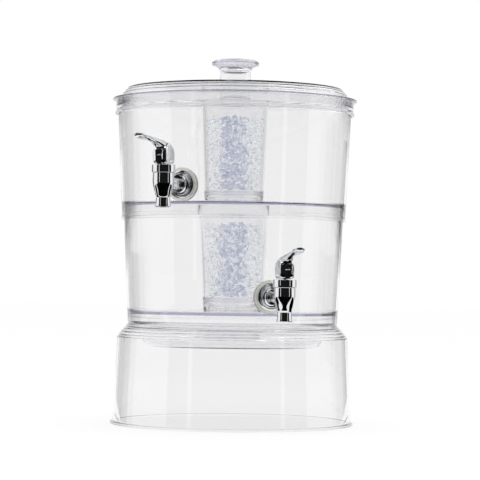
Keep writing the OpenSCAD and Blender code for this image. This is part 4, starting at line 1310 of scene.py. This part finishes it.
def upright_flag(name, angle_from, angle_to, grey, low, high, distance, through):
    """An upright flag, in as many flat panels as it needs."""
    steps = max(1, round(abs(angle_to - angle_from) / PANEL_ANGLE))
    for k in range(steps):
        ends = [math.radians(angle_from + (angle_to - angle_from) * (k + e) / steps) for e in (0, 1)]
        (x0, y0), (x1, y1) = ((distance * math.sin(a), -distance * math.cos(a)) for a in ends)
        flag(f"{name}_{k}", [(x0, y0, low), (x1, y1, low), (x1, y1, high), (x0, y0, high)],
             grey, through)


def level_flag(name, corner, opposite, height, grey, through):
    """A flag that lies level."""
    (x0, y0), (x1, y1) = corner, opposite
    flag(name, [(x0, y0, height), (x1, y0, height), (x1, y1, height), (x0, y1, height)],
         grey, through)


def pale_floor(glow):
    """A wide table top of white acrylic, lit from below, just under the dispenser's foot."""
    bm = bmesh.new()
    bmesh.ops.create_grid(bm, x_segments=1, y_segments=1, size=12.0,
                          matrix=Matrix.Translation((0, 0, -0.1 * MM)))
    floor = linked("floor", bm)
    paint, tree = new_material("lit_white_acrylic")
    surface = add(tree, "ShaderNodeBsdfPrincipled", {
        "Base Color": linear("#707070"), "Roughness": 0.9, "Specular IOR Level": 0.0,
        "Emission Color": WHITE, "Emission Strength": glow})
    add(tree, "ShaderNodeOutputMaterial", {"Surface": surface.outputs["BSDF"]})
    floor.data.materials.append(paint)


def white_world(strength):
    """White surroundings."""
    world = bpy.data.worlds.new("white_studio")
    world.use_nodes = True
    world.node_tree.nodes.clear()
    sky = add(world.node_tree, "ShaderNodeBackground", {"Color": WHITE, "Strength": strength})
    add(world.node_tree, "ShaderNodeOutputWorld", {"Surface": sky.outputs["Background"]})
    bpy.context.scene.world = world


def soft_lamp(name, size, power, place, turn=(0.0, 0.0, 0.0)):
    """A square area lamp, which points down unless it is turned."""
    light = bpy.data.lights.new(name, "AREA")
    light.shape = "SQUARE"
    light.size = size
    light.energy = power
    lamp = bpy.data.objects.new(name, light)
    lamp.location = place
    lamp.rotation_euler = turn
    bpy.context.scene.collection.objects.link(lamp)
    return lamp


def photo_camera(stage):
    """The camera in the photograph's place, turned by its yaw, pitch and roll."""
    camera = bpy.data.objects.new("camera", bpy.data.cameras.new("camera"))
    camera.data.lens = stage.lens
    camera.data.sensor_width = 36.0
    camera.data.clip_start = 0.05
    across = math.cos(stage.camera_pitch)
    forward = Vector((math.sin(stage.camera_yaw) * across, math.cos(stage.camera_yaw) * across,
                      math.sin(stage.camera_pitch)))
    right = forward.cross(UP).normalized()
    up = right.cross(forward)
    turn = Matrix.Rotation(stage.camera_roll, 3, forward)
    camera.matrix_world = Matrix((turn @ right, turn @ up, turn @ -forward)).transposed().to_4x4()
    camera.location = (0.0, -stage.camera_distance, stage.camera_height)
    bpy.context.scene.collection.objects.link(camera)
    bpy.context.scene.camera = camera


class DISPENSER_OT_stage(bpy.types.Operator):
    """Pale floor, soft light and the camera"""
    bl_idname = "dispenser.stage"
    bl_label = "Stage"

    def execute(self, context):
        stage = context.scene.dispenser_stage
        pale_floor(stage.floor_glow)
        white_world(stage.white)
        soft_lamp("overhead_softbox", 2.4, stage.lamps, (0.0, -0.2, 2.2))
        behind = soft_lamp("rear_lamp", 0.8, stage.rear_lamp, (0.5, 1.3, 1.5),
                           (math.radians(-45), 0.0, math.radians(-20)))
        behind.visible_glossy = False
        for settings in UPRIGHT_FLAGS:
            upright_flag(*settings)
        for settings in LEVEL_FLAGS:
            level_flag(*settings)
        photo_camera(stage)
        context.scene.view_settings.view_transform = "Standard"
        # A ray through lid, tank, core and ice goes in and out of clear pieces many times
        cycles = context.scene.cycles
        cycles.max_bounces = cycles.transmission_bounces = 40
        cycles.glossy_bounces = 16
        return {"FINISHED"}


# Sidebar


GROUPS = {"stand": StandSizes, "tank": TankSizes, "lid": LidSizes, "core": CoreSizes,
          "ice": IceSizes, "tap": TapSizes, "finishes": Finishes, "stage": StageSettings}
STEPS = (DISPENSER_OT_stage, DISPENSER_OT_stand, DISPENSER_OT_tanks, DISPENSER_OT_lid,
         DISPENSER_OT_knob, DISPENSER_OT_cores, DISPENSER_OT_ice, DISPENSER_OT_tap_bodies,
         DISPENSER_OT_bonnets, DISPENSER_OT_gaskets, DISPENSER_OT_nuts, DISPENSER_OT_levers,
         DISPENSER_OT_valves)


class DISPENSER_PT_panel(bpy.types.Panel):
    """Lists the pieces and their sizes"""
    bl_idname = "DISPENSER_PT_panel"
    bl_label = "Beverage dispenser"
    bl_space_type = "VIEW_3D"
    bl_region_type = "UI"
    bl_category = "Dispenser"

    def draw(self, context):
        for step in STEPS:
            self.layout.operator(step.bl_idname)
        for name, group in GROUPS.items():
            column = self.layout.column(heading=name)
            settings = getattr(context.scene, f"dispenser_{name}")
            for key in group.__annotations__:
                column.prop(settings, key)


CLASSES = (*GROUPS.values(), *STEPS, DISPENSER_PT_panel)


def register():
    """Adds the classes and gives the scene their settings."""
    for cls in CLASSES:
        bpy.utils.register_class(cls)
    for name, group in GROUPS.items():
        setattr(bpy.types.Scene, f"dispenser_{name}", PointerProperty(type=group))


def unregister():
    """Takes all of it out again."""
    for name in GROUPS:
        delattr(bpy.types.Scene, f"dispenser_{name}")
    for cls in reversed(CLASSES):
        bpy.utils.unregister_class(cls)


def main():
    """Builds the stage and every piece."""
    register()
    for step in STEPS:
        group, name = step.bl_idname.split(".")
        getattr(getattr(bpy.ops, group), name)()


if __name__ == "__main__":
    main()
